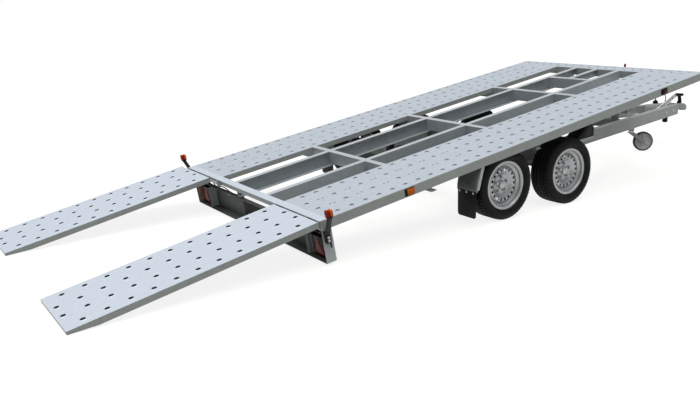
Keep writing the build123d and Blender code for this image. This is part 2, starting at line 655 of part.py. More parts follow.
def light_board():
    """Folded board across the rear, hung from the beams, with side plates and lamp pockets."""
    front = BOARD_REAR_X + BOARD_D
    wide = BOARD_HALF_W
    shape = block(front - BOARD_T, front, -wide, wide, BOARD_LOW_Z, BOARD_HIGH_Z)
    shape += block(BOARD_REAR_X, front, -wide, wide, BOARD_LOW_Z, BOARD_LOW_Z + BOARD_T)
    shape += block(front - BOARD_LIP, front, -wide, wide, BOARD_HIGH_Z - BOARD_T, BOARD_HIGH_Z)
    for side in SIDES.values():
        shape += side_block(side, BOARD_REAR_X, front, wide - BOARD_T, wide, BOARD_LOW_Z, -BEAM_T)
        wall = wide - BOARD_T - LAMP_W
        shape += side_block(side, BOARD_REAR_X + BOARD_SETBACK, front, wall - BOARD_T, wall,
                            BOARD_LOW_Z, BOARD_HIGH_Z)
        shape += side_block(side, front - BOARD_T, front, BEAM_Y - BOARD_HANGER_W / 2,
                            BEAM_Y + BOARD_HANGER_W / 2, BOARD_HIGH_Z, -BEAM_H)
    return bed_tilted(shape)


def tail_lamps():
    """Rear lamps, one in each pocket of the light board."""
    outer = BOARD_HALF_W - BOARD_T
    front = BOARD_REAR_X + BOARD_D - BOARD_T
    low = BOARD_LOW_Z + BOARD_T
    solids = [side_block(side, front - LAMP_D, front, outer - LAMP_W, outer, low, low + LAMP_H)
              for side in SIDES.values()]
    return bed_tilted(Compound(solids))


def number_plate_holder():
    """Flat holder for the number plate, in the middle of the light board."""
    width, height, thick = NUMBER_PLATE
    front = BOARD_REAR_X + BOARD_D - BOARD_T
    low = BOARD_LOW_Z + PLATE_RAISE
    return bed_tilted(block(front - thick, front, -width / 2, width / 2, low, low + height))


def marker_arm(side):
    """Rubber arm on the light board's side plate, leaning out past the bed's edge."""
    x, (low, high), (long, thick) = ARM_X, ARM_BASE_Z, ARM_SECTION
    shape = side_block(side, x - ARM_BASE_W / 2, x + ARM_BASE_W / 2, BOARD_HALF_W,
                       BOARD_HALF_W + thick + ARM_BASE_T, low, high)
    foot = Pos(x, side * (BOARD_HALF_W + ARM_BASE_T + thick / 2), high - ARM_ROOT) * Rectangle(long, thick)
    head = Pos(x - ARM_LEAN_X, side * MARKER_Y, ARM_TOP_Z) * Rectangle(long, thick)
    return bed_tilted(shape + loft([foot, head]))


def marker_lamps():
    """Outline lamps on the rubber arms."""
    x = ARM_X - ARM_LEAN_X
    length, width, height = LAMP_HEAD
    solids = [side_block(side, x - length / 2, x + length / 2, MARKER_Y - width / 2, MARKER_Y + width / 2,
                         ARM_TOP_Z, ARM_TOP_Z + height) for side in SIDES.values()]
    return bed_tilted(Compound(solids))


def side_markers():
    """Flat lamps on the side rails."""
    length, depth, height = SIDE_MARKER
    low = -SIDE_H + (SIDE_H - height) / 2
    solids = [side_block(side, x - length / 2, x + length / 2, BED_HALF_W, BED_HALF_W + depth,
                         low, low + height)
              for side in SIDES.values() for x in SIDE_MARKER_X]
    return bed_tilted(Compound(solids))


def overrun_housing():
    """Overrun device between the drawbar's noses, with the shaft that carries the coupling."""
    z0, z1 = HOUSING_Z
    shape = block(*HOUSING_X, -HOUSING_HALF_W, HOUSING_HALF_W, z0, z1)
    x0, x1, height = HOUSING_SHOULDER
    shape += block(x0, x1, -HOUSING_HALF_W, HOUSING_HALF_W, z1, z1 + height)
    x, radius, drop = HOUSING_STUB
    shape += Pos(x, 0, z0 - drop / 2) * Cylinder(radius, drop)
    length = GAITER_L + SHAFT_INSERT
    return shape + Pos(HOUSING_X[1] + length / 2, 0, SHAFT_Z) * Rot(0, 90, 0) * Cylinder(SHAFT_D / 2, length)


def coupling_gaiter():
    """Rubber bellows over the shaft."""
    ring = Cylinder(GAITER_D / 2, GAITER_L) - Cylinder(SHAFT_D / 2, GAITER_L)
    return Pos(HOUSING_X[1] + GAITER_L / 2, 0, SHAFT_Z) * Rot(0, 90, 0) * ring


def coupling_head():
    """Ball coupling: a pressed housing round a socket that is open below."""
    z0, z1 = HEAD_Z
    start, half = HOUSING_X[1] + GAITER_L, HEAD_W / 2
    body = plan_prism([(start, -half), (BALL_X, -half), (BALL_X, half), (start, half)], z0, z1)
    body += Pos(BALL_X, 0, (z0 + z1) / 2) * Cylinder(HEAD_NOSE_X - BALL_X, z1 - z0)
    body -= Pos(BALL_X, 0, z0 + SOCKET_H / 2) * Cylinder(BALL_D / 2, SOCKET_H)
    shaft = Rot(0, 90, 0) * Cylinder(SHAFT_D / 2, SHAFT_INSERT)
    return body - Pos(start + SHAFT_INSERT / 2, 0, SHAFT_Z) * shaft


def coupling_handle():
    """Release handle that curves up and back from the top of the coupling head."""
    points = [(x + BALL_X, z + HEAD_Z[1]) for x, z in HANDLE_SHAPE]
    return plate_xz(points, -HANDLE_W / 2, HANDLE_W / 2)


def handbrake_lever():
    """Handbrake lever, pinned to the overrun housing's side. It is fixed here."""
    (xa, za), (xb, zb), (xc, zc) = LEVER_FROM, LEVER_TO, GRIP_TO
    thick, wide = LEVER_SECTION
    rise, droop = degrees(atan2(zb - za, xb - xa)), degrees(atan2(zc - zb, xc - xb))
    y0, y1 = LEVER_Y - thick / 2, LEVER_Y + thick / 2
    bar = Rot(0, -rise, 0) * Box(hypot(xb - xa, zb - za), thick, wide)
    bar = Pos((xa + xb) / 2, LEVER_Y, (za + zb) / 2) * bar
    bar += rod_along_y(wide / 2, xa, y0, y1, za)
    pin = rod_along_y(LEVER_PIN_D / 2, xa, y0 - thick / 2, -HOUSING_HALF_W, za)
    grip = Pos((xb + xc) / 2, LEVER_Y, (zb + zc) / 2) * Rot(0, 90 - droop, 0) * Cylinder(
        GRIP_D / 2, hypot(xc - xb, zc - zb))
    return bar + pin + grip


def jockey_clamp():
    """Clamp that holds the jockey tube to the right-hand drawbar beam."""
    z0, z1 = RAIL_LOW + CLAMP_INSET, RAIL_TOP - CLAMP_INSET
    half, reach = JOCKEY_TUBE_D / 2, CLAMP_REACH
    ring = Cylinder(half + CLAMP_T, z1 - z0) - Cylinder(half, z1 - z0)
    ring = Pos(JOCKEY_X, JOCKEY_Y, (z0 + z1) / 2) * ring
    ys = [-(drawbar_y(x) - RAIL_W / cos(DRAWBAR_ANGLE)) for x in (JOCKEY_X - reach, JOCKEY_X + reach)]
    arm = plan_prism([(JOCKEY_X - reach, ys[0]), (JOCKEY_X + reach, ys[1]),
                      (JOCKEY_X + reach, JOCKEY_Y), (JOCKEY_X - reach, JOCKEY_Y)], z0, z1)
    arm -= Pos(JOCKEY_X, JOCKEY_Y, (z0 + z1) / 2) * Cylinder(half + CLAMP_T - 1, z1 - z0)
    return ring + arm


def jockey_tube():
    """Outer tube of the jockey wheel."""
    z0, z1 = JOCKEY_TUBE_Z
    ring = Cylinder(JOCKEY_TUBE_D / 2, z1 - z0) - Cylinder(JOCKEY_TUBE_D / 2 - JOCKEY_WALL, z1 - z0)
    cap = Pos(0, 0, (z1 - z0 + JOCKEY_CAP_T) / 2) * Cylinder(JOCKEY_TUBE_D / 2 + 2, JOCKEY_CAP_T)
    return Pos(JOCKEY_X, JOCKEY_Y, (z0 + z1) / 2) * (ring + cap)


def jockey_crank():
    """Crank handle on top of the jockey tube."""
    base = JOCKEY_TUBE_Z[1] + JOCKEY_CAP_T
    (boss_r, boss_h), (bar_w, bar_t), (knob_r, knob_h) = CRANK_BOSS, CRANK_BAR, CRANK_KNOB
    top = base + boss_h
    shape = Pos(JOCKEY_X, JOCKEY_Y, base + boss_h / 2) * Cylinder(boss_r, boss_h)
    shape += block(JOCKEY_X - bar_w / 2, JOCKEY_X + bar_w / 2, JOCKEY_Y, JOCKEY_Y + CRANK_R,
                   top - bar_t, top)
    return shape + Pos(JOCKEY_X, JOCKEY_Y + CRANK_R, top + knob_h / 2) * Cylinder(knob_r, knob_h)


def jockey_leg():
    """Inner tube of the jockey wheel, which the crank's screw moves up and down."""
    low, top = JOCKEY_D / 2 + JOCKEY_CROWN, JOCKEY_TUBE_Z[0] + JOCKEY_INSERT
    radius = JOCKEY_TUBE_D / 2 - JOCKEY_WALL - JOCKEY_SLIDE_GAP
    ring = Cylinder(radius, top - low) - Cylinder(radius - JOCKEY_WALL, top - low)
    return Pos(JOCKEY_X, JOCKEY_Y, (low + top) / 2) * ring


def jockey_yawed(shape):
    """Swivel a shape drawn with the wheel straight ahead of its leg."""
    return Pos(JOCKEY_X, JOCKEY_Y, 0) * Rot(0, 0, JOCKEY_YAW) * Pos(-JOCKEY_X, -JOCKEY_Y, 0) * shape


def jockey_fork():
    """Swivelling fork under the inner tube, with the spindle of the wheel."""
    top = JOCKEY_D / 2 + JOCKEY_CROWN
    low = top - JOCKEY_FORK_T
    wheel_x, wheel_z, half = JOCKEY_X + JOCKEY_TRAIL, JOCKEY_D / 2, JOCKEY_W / 2 + FORK_GAP
    reach = half + JOCKEY_FORK_T
    rear, front = [JOCKEY_X + dx for dx in FORK_TOP_X]
    shape = block(rear, front, JOCKEY_Y - reach, JOCKEY_Y + reach, low, top)
    for sign in (-1, 1):
        y0, y1 = sorted((JOCKEY_Y + sign * half, JOCKEY_Y + sign * reach))
        foot = [(wheel_x + dx, wheel_z + dz) for dx, dz in FORK_FOOT]
        shape += plate_xz([(rear, top), (front, top), *foot], y0, y1)
    shape += rod_along_y(JOCKEY_AXLE_D / 2, wheel_x, JOCKEY_Y - reach, JOCKEY_Y + reach, wheel_z)
    return jockey_yawed(shape)


def jockey_wheel(part):
    """The jockey wheel's tyre or its rim."""
    place, radius = Pos(JOCKEY_X + JOCKEY_TRAIL, JOCKEY_Y, JOCKEY_D / 2) * Rot(90, 0, 0), JOCKEY_RIM_D / 2
    if part == "tyre":
        whole = fillet(Cylinder(JOCKEY_D / 2, JOCKEY_W).edges(), JOCKEY_ROUND)
        return jockey_yawed(place * (whole - Cylinder(radius, JOCKEY_W)))
    rim_w, rim_t, disc_t = JOCKEY_RIM_SECTION
    rim = Cylinder(radius, rim_w) - Cylinder(radius - rim_t, rim_w)
    rim += Cylinder(radius - rim_t / 2, disc_t) + Cylinder(JOCKEY_HUB_D / 2, JOCKEY_W - 2)
    return jockey_yawed(place * (rim - Cylinder(JOCKEY_BORE_D / 2, JOCKEY_W)))


def chock_place(side):
    """Frame of a chock beside its drawbar beam: x along the beam's face, y outwards."""
    x0, x1 = CHOCK_BASE_X
    middle = (x0 + x1) / 2
    return Pos(middle, side * drawbar_y(middle), 0) * Rot(0, 0, -side * degrees(DRAWBAR_ANGLE))


def chock_holders():
    """Open trays on the drawbar beams' outer faces, with a lip and a front plate."""
    solids = []
    half = (CHOCK_BASE_X[1] - CHOCK_BASE_X[0]) / 2
    width = CHOCK_W + 2 * CHOCK_GAP + TRAY_T
    for side in SIDES.values():
        shape = side_block(side, -half, half, 0, width, CHOCK_FLOOR_Z - TRAY_FLOOR_T, CHOCK_FLOOR_Z)
        shape += side_block(side, half - TRAY_FLOOR_T, half, 0, width, CHOCK_FLOOR_Z,
                            CHOCK_FLOOR_Z + TRAY_FRONT_H)
        shape += side_block(side, -half, half, width - TRAY_T, width, CHOCK_FLOOR_Z,
                            CHOCK_FLOOR_Z + TRAY_LIP_H)
        shape += side_block(side, -half, half, 0, TRAY_T, RAIL_LOW + TRAY_FOOT, CHOCK_FLOOR_Z)
        solids.append(chock_place(side) * shape)
    return Compound(solids)


def wheel_chocks():
    """Black wedges in the trays."""
    solids = []
    half = (CHOCK_BASE_X[1] - CHOCK_BASE_X[0]) / 2
    for side in SIDES.values():
        front, low = half - TRAY_FLOOR_T - CHOCK_GAP, CHOCK_FLOOR_Z + CHOCK_REST
        top = [(front - back, low + CHOCK_H * part) for back, part in CHOCK_TOP]
        outline = [(front - CHOCK_L, low), (front, low), *top, (front - CHOCK_L, low + CHOCK_TIP_H)]
        wedge = plate_xz(outline, side * CHOCK_GAP, side * (CHOCK_GAP + CHOCK_W))
        solids.append(chock_place(side) * wedge)
    return Compound(solids)


def route_radii(points):
    """Arc radius at each inner point of a cord's route, as large as its two runs allow."""
    radii = []
    for before, here, after in zip(points, points[1:], points[2:]):
        one, two = Vector(*here) - Vector(*before), Vector(*after) - Vector(*here)
        turn = radians(one.get_angle(two))
        half_turn = turn / 2
        radii.append(0.45 * min(one.length, two.length) * cos(half_turn) / sin(half_turn))
    return radii


def trailer_lead():
    """Electric lead between its gland and its parked plug, held at both ends."""
    radii = route_radii(LEAD_ROUTE)
    path = FilletPolyline(*LEAD_ROUTE, radius=radii)
    lead = sweep(Plane(origin=path @ 0, z_dir=path % 0) * Circle(LEAD_D / 2), path=path)
    section = pi * LEAD_D ** 2 / 4
    print("lead length", round(path.length, 1), "radii", [round(r, 1) for r in radii],
          "volume by section and length", round(lead.volume / (section * path.length), 4))
    return lead


def lead_gland():
    """Gland on top of the overrun housing, where the lead comes up."""
    x, y, z = LEAD_ROUTE[0]
    height = z - HOUSING_Z[1]
    return Pos(x, y, z - height / 2) * Cylinder(GLAND_D / 2, height)


def trailer_plug():
    """Round plug at the lead's end, parked on the housing's shoulder."""
    x, y, z = LEAD_ROUTE[-1]
    height = z - HOUSING_Z[1] - HOUSING_SHOULDER[2]
    return Pos(x, y, z - height / 2) * Cylinder(PLUG_D / 2, height)


def nodes():
    """Every piece by its node's name."""
    yield "chassis_cross_tubes", cross_tubes()
    yield "bed_buffers", buffers()
    yield "pivot_brackets", pivot_brackets()
    yield "overrun_housing", overrun_housing()
    yield "coupling_gaiter", coupling_gaiter()
    yield "coupling_head", coupling_head()
    yield "coupling_handle", coupling_handle()
    yield "handbrake_lever", handbrake_lever()
    yield "jockey_clamp", jockey_clamp()
    yield "jockey_tube", jockey_tube()
    yield "jockey_crank", jockey_crank()
    yield "jockey_leg", jockey_leg()
    yield "jockey_fork", jockey_fork()
    yield "jockey_tyre", jockey_wheel("tyre")
    yield "jockey_rim", jockey_wheel("rim")
    yield "chock_holders", chock_holders()
    yield "wheel_chocks", wheel_chocks()
    yield "trailer_lead", trailer_lead()
    yield "lead_gland", lead_gland()
    yield "trailer_plug", trailer_plug()
    yield "bed_cross_members", bed_cross_members()
    yield "front_beam", front_beam()
    yield "front_rib", front_rib()
    yield "rear_bar", rear_bar()
    yield "mudguard_stays", mudguard_stays()
    yield "light_board", light_board()
    yield "tail_lamps", tail_lamps()
    yield "number_plate_holder", number_plate_holder()
    yield "marker_lamps", marker_lamps()
    yield "side_markers", side_markers()
    for place, x in AXLE_X.items():
        yield f"axle_{place}", axle(x)
    for name, side in SIDES.items():
        yield f"chassis_rail_{name}", chassis_rail(side)
        yield f"bed_beam_{name}", bed_beam(side)
        yield f"track_{name}", track(side)
        yield f"side_rail_{name}", side_rail(side)
        yield f"ramp_{name}", ramp(name)
        yield f"mudguard_{name}", mudguard(side)
        yield f"marker_arm_{name}", marker_arm(side)
        for place, x in AXLE_X.items():
            yield f"tyre_{place}_{name}", tyre(x, side)
            yield f"wheel_{place}_{name}", wheel(x, side)


ORIGIN_X = (ramp_tip_x() + HEAD_NOSE_X) / 2

os.makedirs("parts", exist_ok=True)
for node, shape in nodes():
    export_step(Pos(-ORIGIN_X, 0, 0) * shape, f"parts/{node}.step")
print("ramp droop", round(ramp_droop(), 3), "origin at", round(ORIGIN_X, 3))
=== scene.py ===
"""Looks of the tilting-bed car carrier trailer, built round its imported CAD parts.

Metres, in the CAD's frame: +X forward to the coupling, +Y left, +Z up, the origin on the ground. Bed pieces
are drawn in the bed's own level frame (x forward from the rear bar's front edge, z up from the track
surface) and ramps flush with the bed; a matrix then puts them where the CAD has them.
"""

from math import asin, atan, atan2, cos, pi, radians, sin, tau

import bmesh
import bpy
from mathutils import Matrix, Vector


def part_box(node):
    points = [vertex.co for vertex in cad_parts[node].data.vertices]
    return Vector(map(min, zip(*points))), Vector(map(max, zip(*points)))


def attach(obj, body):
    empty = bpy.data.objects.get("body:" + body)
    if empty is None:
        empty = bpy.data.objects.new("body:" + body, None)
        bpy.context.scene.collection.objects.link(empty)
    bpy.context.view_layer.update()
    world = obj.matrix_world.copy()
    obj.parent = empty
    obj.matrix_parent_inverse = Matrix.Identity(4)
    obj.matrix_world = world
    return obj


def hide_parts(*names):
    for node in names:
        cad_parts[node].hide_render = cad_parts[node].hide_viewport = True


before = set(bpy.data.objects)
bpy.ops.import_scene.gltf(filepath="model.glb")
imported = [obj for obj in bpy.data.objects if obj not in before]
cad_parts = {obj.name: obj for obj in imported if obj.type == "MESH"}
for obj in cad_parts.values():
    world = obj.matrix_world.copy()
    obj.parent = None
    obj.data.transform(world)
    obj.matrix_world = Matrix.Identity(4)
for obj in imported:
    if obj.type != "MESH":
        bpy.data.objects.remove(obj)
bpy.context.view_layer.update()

# Where the trailer's drawing frame stands: midway between its axles
TYRES = [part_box(f"tyre_{end}_{side}") for end in ("front", "rear") for side in ("left", "right")]
DRAWN_X = sum(low.x + high.x for low, high in TYRES) / 8

# The bed's pivot on the chassis and in the bed's frame, its tilt, and the ramps' rod and droop, as in the CAD
PIVOT = (0.275, 0.470)
PIVOT_BED = (2.208, 0.177)
TILT = radians(8.4)
RAMP_DROOP = radians(2.198)
RAMP_ROD = (-0.054, -0.038)

# Bed and ramp sizes that the pressed holes follow
BED_L, FRONT_W = 4.002, 0.150
TRACK_Y = 0.768
RAMP_TIP_X, RAMP_Y = -1.654, {"left": 0.870, "right": -0.762}
ROW_GAP, PAIR_GAP = 0.146, 0.034
HOLE_R, TRACK_HOLE_R, STRIP_HOLE_R, SMALL_HOLE_R = 0.0165, 0.0145, 0.012, 0.0075
TRACK_LIP_H, RAMP_LIP_H, STRIP_LIP_H = 0.0065, 0.003, 0.0035
# A perforated plate is creased where faces meet at more degrees than this, so its flat top is lit evenly.
LIP_SMOOTH = 16

# Chassis: the wheels' places, and the side members' outer sides, which bend in to the nose from BEND_X
AXLE_Z, WHEEL_Y, AXLE_X = 0.2625, 0.926, {"front": 0.345, "rear": -0.345}
BEND_X, MEMBER_Y, BEND_SLOPE = 0.514, 0.660, 0.21542
BEND = atan(BEND_SLOPE)
SIDES = {"left": 1, "right": -1}


def at(x, y, z):
    """A shift by so many metres each way."""
    return Matrix.Translation((x, y, z))


def about(axis, angle):
    """A turn about an axis through the origin."""
    return Matrix.Rotation(angle, 4, axis)


CHASSIS = at(DRAWN_X, 0, 0)
BED = CHASSIS @ at(PIVOT[0], 0, PIVOT[1]) @ about("Y", -TILT) @ at(-PIVOT_BED[0], 0, PIVOT_BED[1])
RAMP = BED @ at(RAMP_ROD[0], 0, RAMP_ROD[1]) @ about("Y", -RAMP_DROOP) @ at(-RAMP_ROD[0], 0, -RAMP_ROD[1])


def linear(colour):
    """A sRGB hex colour as linear RGBA."""
    channels = [int(colour[i:i + 2], 16) / 255 for i in (1, 3, 5)]
    return (*[c / 12.92 if c <= 0.04045 else ((c + 0.055) / 1.055) ** 2.4 for c in channels], 1.0)


def add(tree, kind, inputs=None, **settings):
    """Adds a node with its settings. An input is given a value, a socket to link from, a node whose first
    output is linked, or a list of these where it takes several."""
    node = tree.nodes.new(kind)
    for name, value in settings.items():
        setattr(node, name, value)
    for key, given in (inputs or {}).items():
        for value in given if isinstance(given, list) else [given]:
            value = value.outputs[0] if isinstance(value, bpy.types.Node) else value
            if isinstance(value, bpy.types.NodeSocket):
                tree.links.new(value, node.inputs[key])
            else:
                node.inputs[key].default_value = value
    return node


# Materials

def begun(name):
    """A material with an empty tree, and the object coordinates that its patterns read."""
    material = bpy.data.materials.new(name)
    material.use_nodes = True
    tree = material.node_tree
    tree.nodes.clear()
    return material, tree, add(tree, "ShaderNodeTexCoord").outputs["Object"]


def shaded(material, pattern, low, high, inputs):
    """A material ended with its shader, whose colour goes from low to high as the pattern rises."""
    tree = material.node_tree
    tone = add(tree, "ShaderNodeMix", {0: pattern, 6: linear(low), 7: linear(high)}, data_type="RGBA")
    shader = add(tree, "ShaderNodeBsdfPrincipled", {"Base Color": tone.outputs[2], **inputs})
    add(tree, "ShaderNodeOutputMaterial", {"Surface": shader})
    return material


def hot_dip_zinc(name, pale, dull, metallic, roughness, spangle=0.016, streak=0.35, cloud=0.28, pit=0.004):
    """Hot-dip galvanised steel: zinc crystals a fingertip wide, each a shade lighter or duller, under
    broad cloudy patches where the dip ran off. The crystals also scatter the sheen."""
    material, tree, place = begun(name)
    crystals = add(tree, "ShaderNodeTexVoronoi", {"Vector": place, "Scale": 1 / spangle, "Randomness": 1.0})
    grain = add(tree, "ShaderNodeSeparateColor", {0: crystals.outputs["Color"]})
    clouds = add(tree, "ShaderNodeTexNoise", {
        "Vector": place, "Scale": 1 / cloud, "Detail": 4.0, "Roughness": 0.6, "Distortion": 0.8})
    grains = add(tree, "ShaderNodeMath", {0: grain, 1: 1 - streak}, operation="MULTIPLY")
    both = add(tree, "ShaderNodeMath", {0: clouds, 1: streak, 2: grains}, operation="MULTIPLY_ADD")
    sheen = add(tree, "ShaderNodeMapRange", {
        "Value": both, "To Min": roughness + 0.10, "To Max": roughness - 0.06})
    pits = add(tree, "ShaderNodeTexNoise", {"Vector": place, "Scale": 1 / pit, "Detail": 2.0})
    bump = add(tree, "ShaderNodeBump", {"Height": pits, "Strength": 0.25, "Distance": 0.0004})
    return shaded(material, both, dull, pale, {"Metallic": metallic, "Roughness": sheen, "Normal": bump})


def moulded(name, colour, worn, roughness, grain=0.002, depth=0.00015, wear=0.08, specular=0.5):
    """Rubber or plastic from a mould: a fine leathery grain, dulled in cloudy patches by use and dust."""
    material, tree, place = begun(name)
    dust = add(tree, "ShaderNodeTexNoise", {
        "Vector": place, "Scale": 1 / wear, "Detail": 5.0, "Roughness": 0.65})
    patches = add(tree, "ShaderNodeMapRange", {"Value": dust, "From Min": 0.42, "From Max": 0.78})
    sheen = add(tree, "ShaderNodeMapRange", {
        "Value": dust, "From Min": 0.3, "From Max": 0.75,
        "To Min": roughness - 0.06, "To Max": roughness + 0.12})
    cells = add(tree, "ShaderNodeTexVoronoi", {"Vector": place, "Scale": 1 / grain})
    bump = add(tree, "ShaderNodeBump", {"Height": cells, "Strength": 0.5, "Distance": depth})
    return shaded(material, patches, colour, worn, {
        "Roughness": sheen, "Normal": bump, "Specular IOR Level": specular})


def lamp_lens(name, colour, deep, prism_width=0.006):
    """Clear-coloured acrylic over a lamp: rows of small prisms inside it break up the light, so the colour
    goes from deep to bright across each one, under a glossy skin."""
    material, tree, place = begun(name)
    prisms = add(tree, "ShaderNodeTexVoronoi", {
        "Vector": place, "Scale": 1 / prism_width, "Randomness": 0.15}, distance="CHEBYCHEV")
    glow = add(tree, "ShaderNodeMapRange", {"Value": prisms, "From Max": 0.6})
    bump = add(tree, "ShaderNodeBump", {"Height": prisms, "Strength": 0.35, "Distance": 0.0006})
    return shaded(material, glow, colour, deep, {
        "Roughness": 0.25, "Specular IOR Level": 0.12, "Normal": bump})


def silver_enamel(name, bright, dusty, flake_size=0.0025, dust_size=0.06):
    """Silver enamel on pressed steel: fine metal flake under a thin clear coat, each flake's glint painted
    into the colour, with brake dust on it.
    """
    material, tree, place = begun(name)
    flake = add(tree, "ShaderNodeTexVoronoi", {"Vector": place, "Scale": 1 / flake_size})
    glint = add(tree, "ShaderNodeSeparateColor", {0: flake.outputs["Color"]})
    dirt = add(tree, "ShaderNodeTexNoise", {"Vector": place, "Scale": 1 / dust_size, "Detail": 4.0})
    # The flakes' painted glints are mixed with the real brake dust.
    shade = add(tree, "ShaderNodeMath", {0: glint, 1: 0.35, 2: dirt}, operation="MULTIPLY_ADD")
    patches = add(tree, "ShaderNodeMapRange", {"Value": shade, "From Max": 1.3})
    sheen = add(tree, "ShaderNodeMapRange", {"Value": dirt, "To Min": 0.5, "To Max": 0.32})
    return shaded(material, patches, dusty, bright, {
        "Metallic": 0.65, "Roughness": sheen, "Coat Weight": 0.25, "Coat Roughness": 0.25})


# Dipped steel is pale and bluish on flat sheets and greyer and more clouded on bars. Upright faces, webs and
# hole throats get darker copies as painted shade, as the sky lights level faces more; and it is dark where
# road dirt reaches it. Its zinc has weathered, so little of it still mirrors.
ZINC_PLATE = hot_dip_zinc("galvanised_sheet", "#d9e2ed", "#cbd5e1", 0.12, 0.44)
ZINC_TRACK = hot_dip_zinc("galvanised_tread_plate", "#cbd3dc", "#b9c2cc", 0.12, 0.46)
ZINC_BEAM = hot_dip_zinc("galvanised_section", "#c8ced1", "#b6bdc1", 0.12, 0.48, 0.022, 0.6)
ZINC_RAIL = hot_dip_zinc("galvanised_flat_bar", "#aab0ae", "#989e9c", 0.12, 0.50, 0.024, 0.7)
ZINC_WEB_SHADE = hot_dip_zinc("galvanised_web", "#b2babf", "#939ba1", 0.12, 0.50, 0.022, 0.75)
ZINC_DARK = hot_dip_zinc("galvanised_weathered", "#727974", "#5a615c", 0.12, 0.52, 0.020, 0.7)
# The light board's faces behind the ramps get this dark copy as painted shade.
ZINC_BOARD_SHADE = hot_dip_zinc("galvanised_road_dirt", "#565b57", "#444945", 0.12, 0.58, 0.020, 0.7)
# Inside a pressed hole the throat gets a dark copy of the zinc as painted shade, so the throats read as dark
# spots.
ZINC_THROAT = hot_dip_zinc("galvanised_dirty", "#3d4145", "#2a2d32", 0.10, 0.60, 0.006, 0.7)
# A new lever's zinc is nearly white, and its copy is paler still so the lever's shaded side looks lit:
# painted light.
# Plating on turned and cast parts is finer and mirrors more.
ZINC_BRIGHT = hot_dip_zinc("bright_zinc", "#eef0ef", "#dde0df", 0.15, 0.40)
ZINC_PLATED = hot_dip_zinc("zinc_plated_steel", "#d0d3d1", "#b0b4b3", 0.55, 0.36, 0.005, 0.5)
STEEL_ENAMEL = silver_enamel("silver_enamel", "#b8bbbd", "#9ea1a4")
# Carbon-black rubber and plastic take all light but a dull sheen, the tyres the dullest.
TYRE_RUBBER = moulded("tyre_rubber", "#0c0c0d", "#171717", 0.68, 0.004, 0.0002, 0.12, 0.22)
BLACK_RUBBER = moulded("moulded_rubber", "#0b0b0c", "#151516", 0.55, 0.003, 0.0002, specular=0.22)
BLACK_PLASTIC = moulded("black_polypropylene", "#0b0c0d", "#141516", 0.50, 0.0025, 0.0001, specular=0.10)
GREY_RUBBER = moulded("grey_solid_rubber", "#2a2b2c", "#3b3c3d", 0.60, 0.003, 0.0002, 0.05)
# Nylon is smooth and evenly coloured, pale on the jockey wheel's rim and faded red on its crank.
GREY_NYLON = moulded("grey_nylon", "#dfe1e1", "#c3c6c6", 0.50, 0.003, 0.0001, 0.05)
RED_GRIP = moulded("red_nylon_grip", "#8a2f26", "#5e2722", 0.45, 0.003, 0.0001, 0.03)
# Enamel hides the sheet's own grain under a soft gloss, and paint on the cast drums is rough with sand marks.
DARK_SHEET = moulded("grey_enamelled_sheet", "#666c6a", "#7f8583", 0.30, 0.02, 0.0006, 0.2)
CAST_IRON = moulded("painted_cast_iron", "#2b2b2a", "#45443f", 0.60, 0.004, 0.0003, 0.05)
RED_LENS = lamp_lens("red_acrylic", "#c4161c", "#6e0c10")
DARK_LENS = lamp_lens("dark_red_acrylic", "#571416", "#2b0a0b")
AMBER_LENS = lamp_lens("amber_acrylic", "#f0801c", "#b5520e")
CLEAR_LENS = lamp_lens("clear_acrylic", "#a2a5a4", "#6d7070")

SLOT_MATERIALS = {
    "galvanised_beam": ZINC_BEAM, "galvanised_plate": ZINC_PLATE, "steel_rim": STEEL_ENAMEL,
    "tyre_rubber": TYRE_RUBBER, "black_rubber": BLACK_RUBBER, "black_plastic": BLACK_PLASTIC,
    "coupling_zinc": ZINC_PLATED, "grey_plastic": GREY_NYLON, "red_lens": RED_LENS,
}
# CAD pieces whose finish isn't their slot's usual one
NODE_MATERIALS = {
    "chassis_cross_tubes": ZINC_DARK, "side_rail_left": ZINC_RAIL, "side_rail_right": ZINC_RAIL,
    "chassis_rail_left": ZINC_RAIL, "chassis_rail_right": ZINC_RAIL, "jockey_fork": ZINC_RAIL,
    "axle_front": ZINC_DARK, "axle_rear": ZINC_DARK, "jockey_tube": ZINC_RAIL, "jockey_leg": ZINC_PLATED,
}


# Mesh making

def lathe(profile, segments):
    """Turns (radius, y) points round the Y axis."""
    mesh = bmesh.new()
    rings = []
    for k in range(segments):
        turn = tau * k / segments
        rings.append([mesh.verts.new((r * sin(turn), y, r * cos(turn))) for r, y in profile])
    for one, two in zip(rings, rings[1:] + rings[:1]):
        for i in range(len(profile)):
            j = (i + 1) % len(profile)
            mesh.faces.new((one[i], one[j], two[j], two[i]))
    bmesh.ops.remove_doubles(mesh, verts=mesh.verts, dist=1e-6)
    bmesh.ops.recalc_face_normals(mesh, faces=mesh.faces)
    return mesh


def prism(outline, y0, y1, bevel=0.0):
    """A plate whose outline is given as (x, z) points, between two y planes."""
    mesh = bmesh.new()
    rings = [[mesh.verts.new((x, y, z)) for x, z in outline] for y in (y0, y1)]
    for ring in rings:
        mesh.faces.new(ring)
    for i in range(len(outline)):
        j = (i + 1) % len(outline)
        mesh.faces.new((rings[0][i], rings[0][j], rings[1][j], rings[1][i]))
    bmesh.ops.recalc_face_normals(mesh, faces=mesh.faces)
    if bevel:
        bmesh.ops.bevel(mesh, geom=mesh.edges[:], offset=bevel, segments=2, profile=0.5, affect="EDGES",
                        clamp_overlap=True)
    return mesh


def block(x0, x1, y0, y1, z0, z1, bevel=0.0):
    """A bar between two corners, with its edges rounded."""
    return prism([(x0, z0), (x1, z0), (x1, z1), (x0, z1)], y0, y1, bevel)


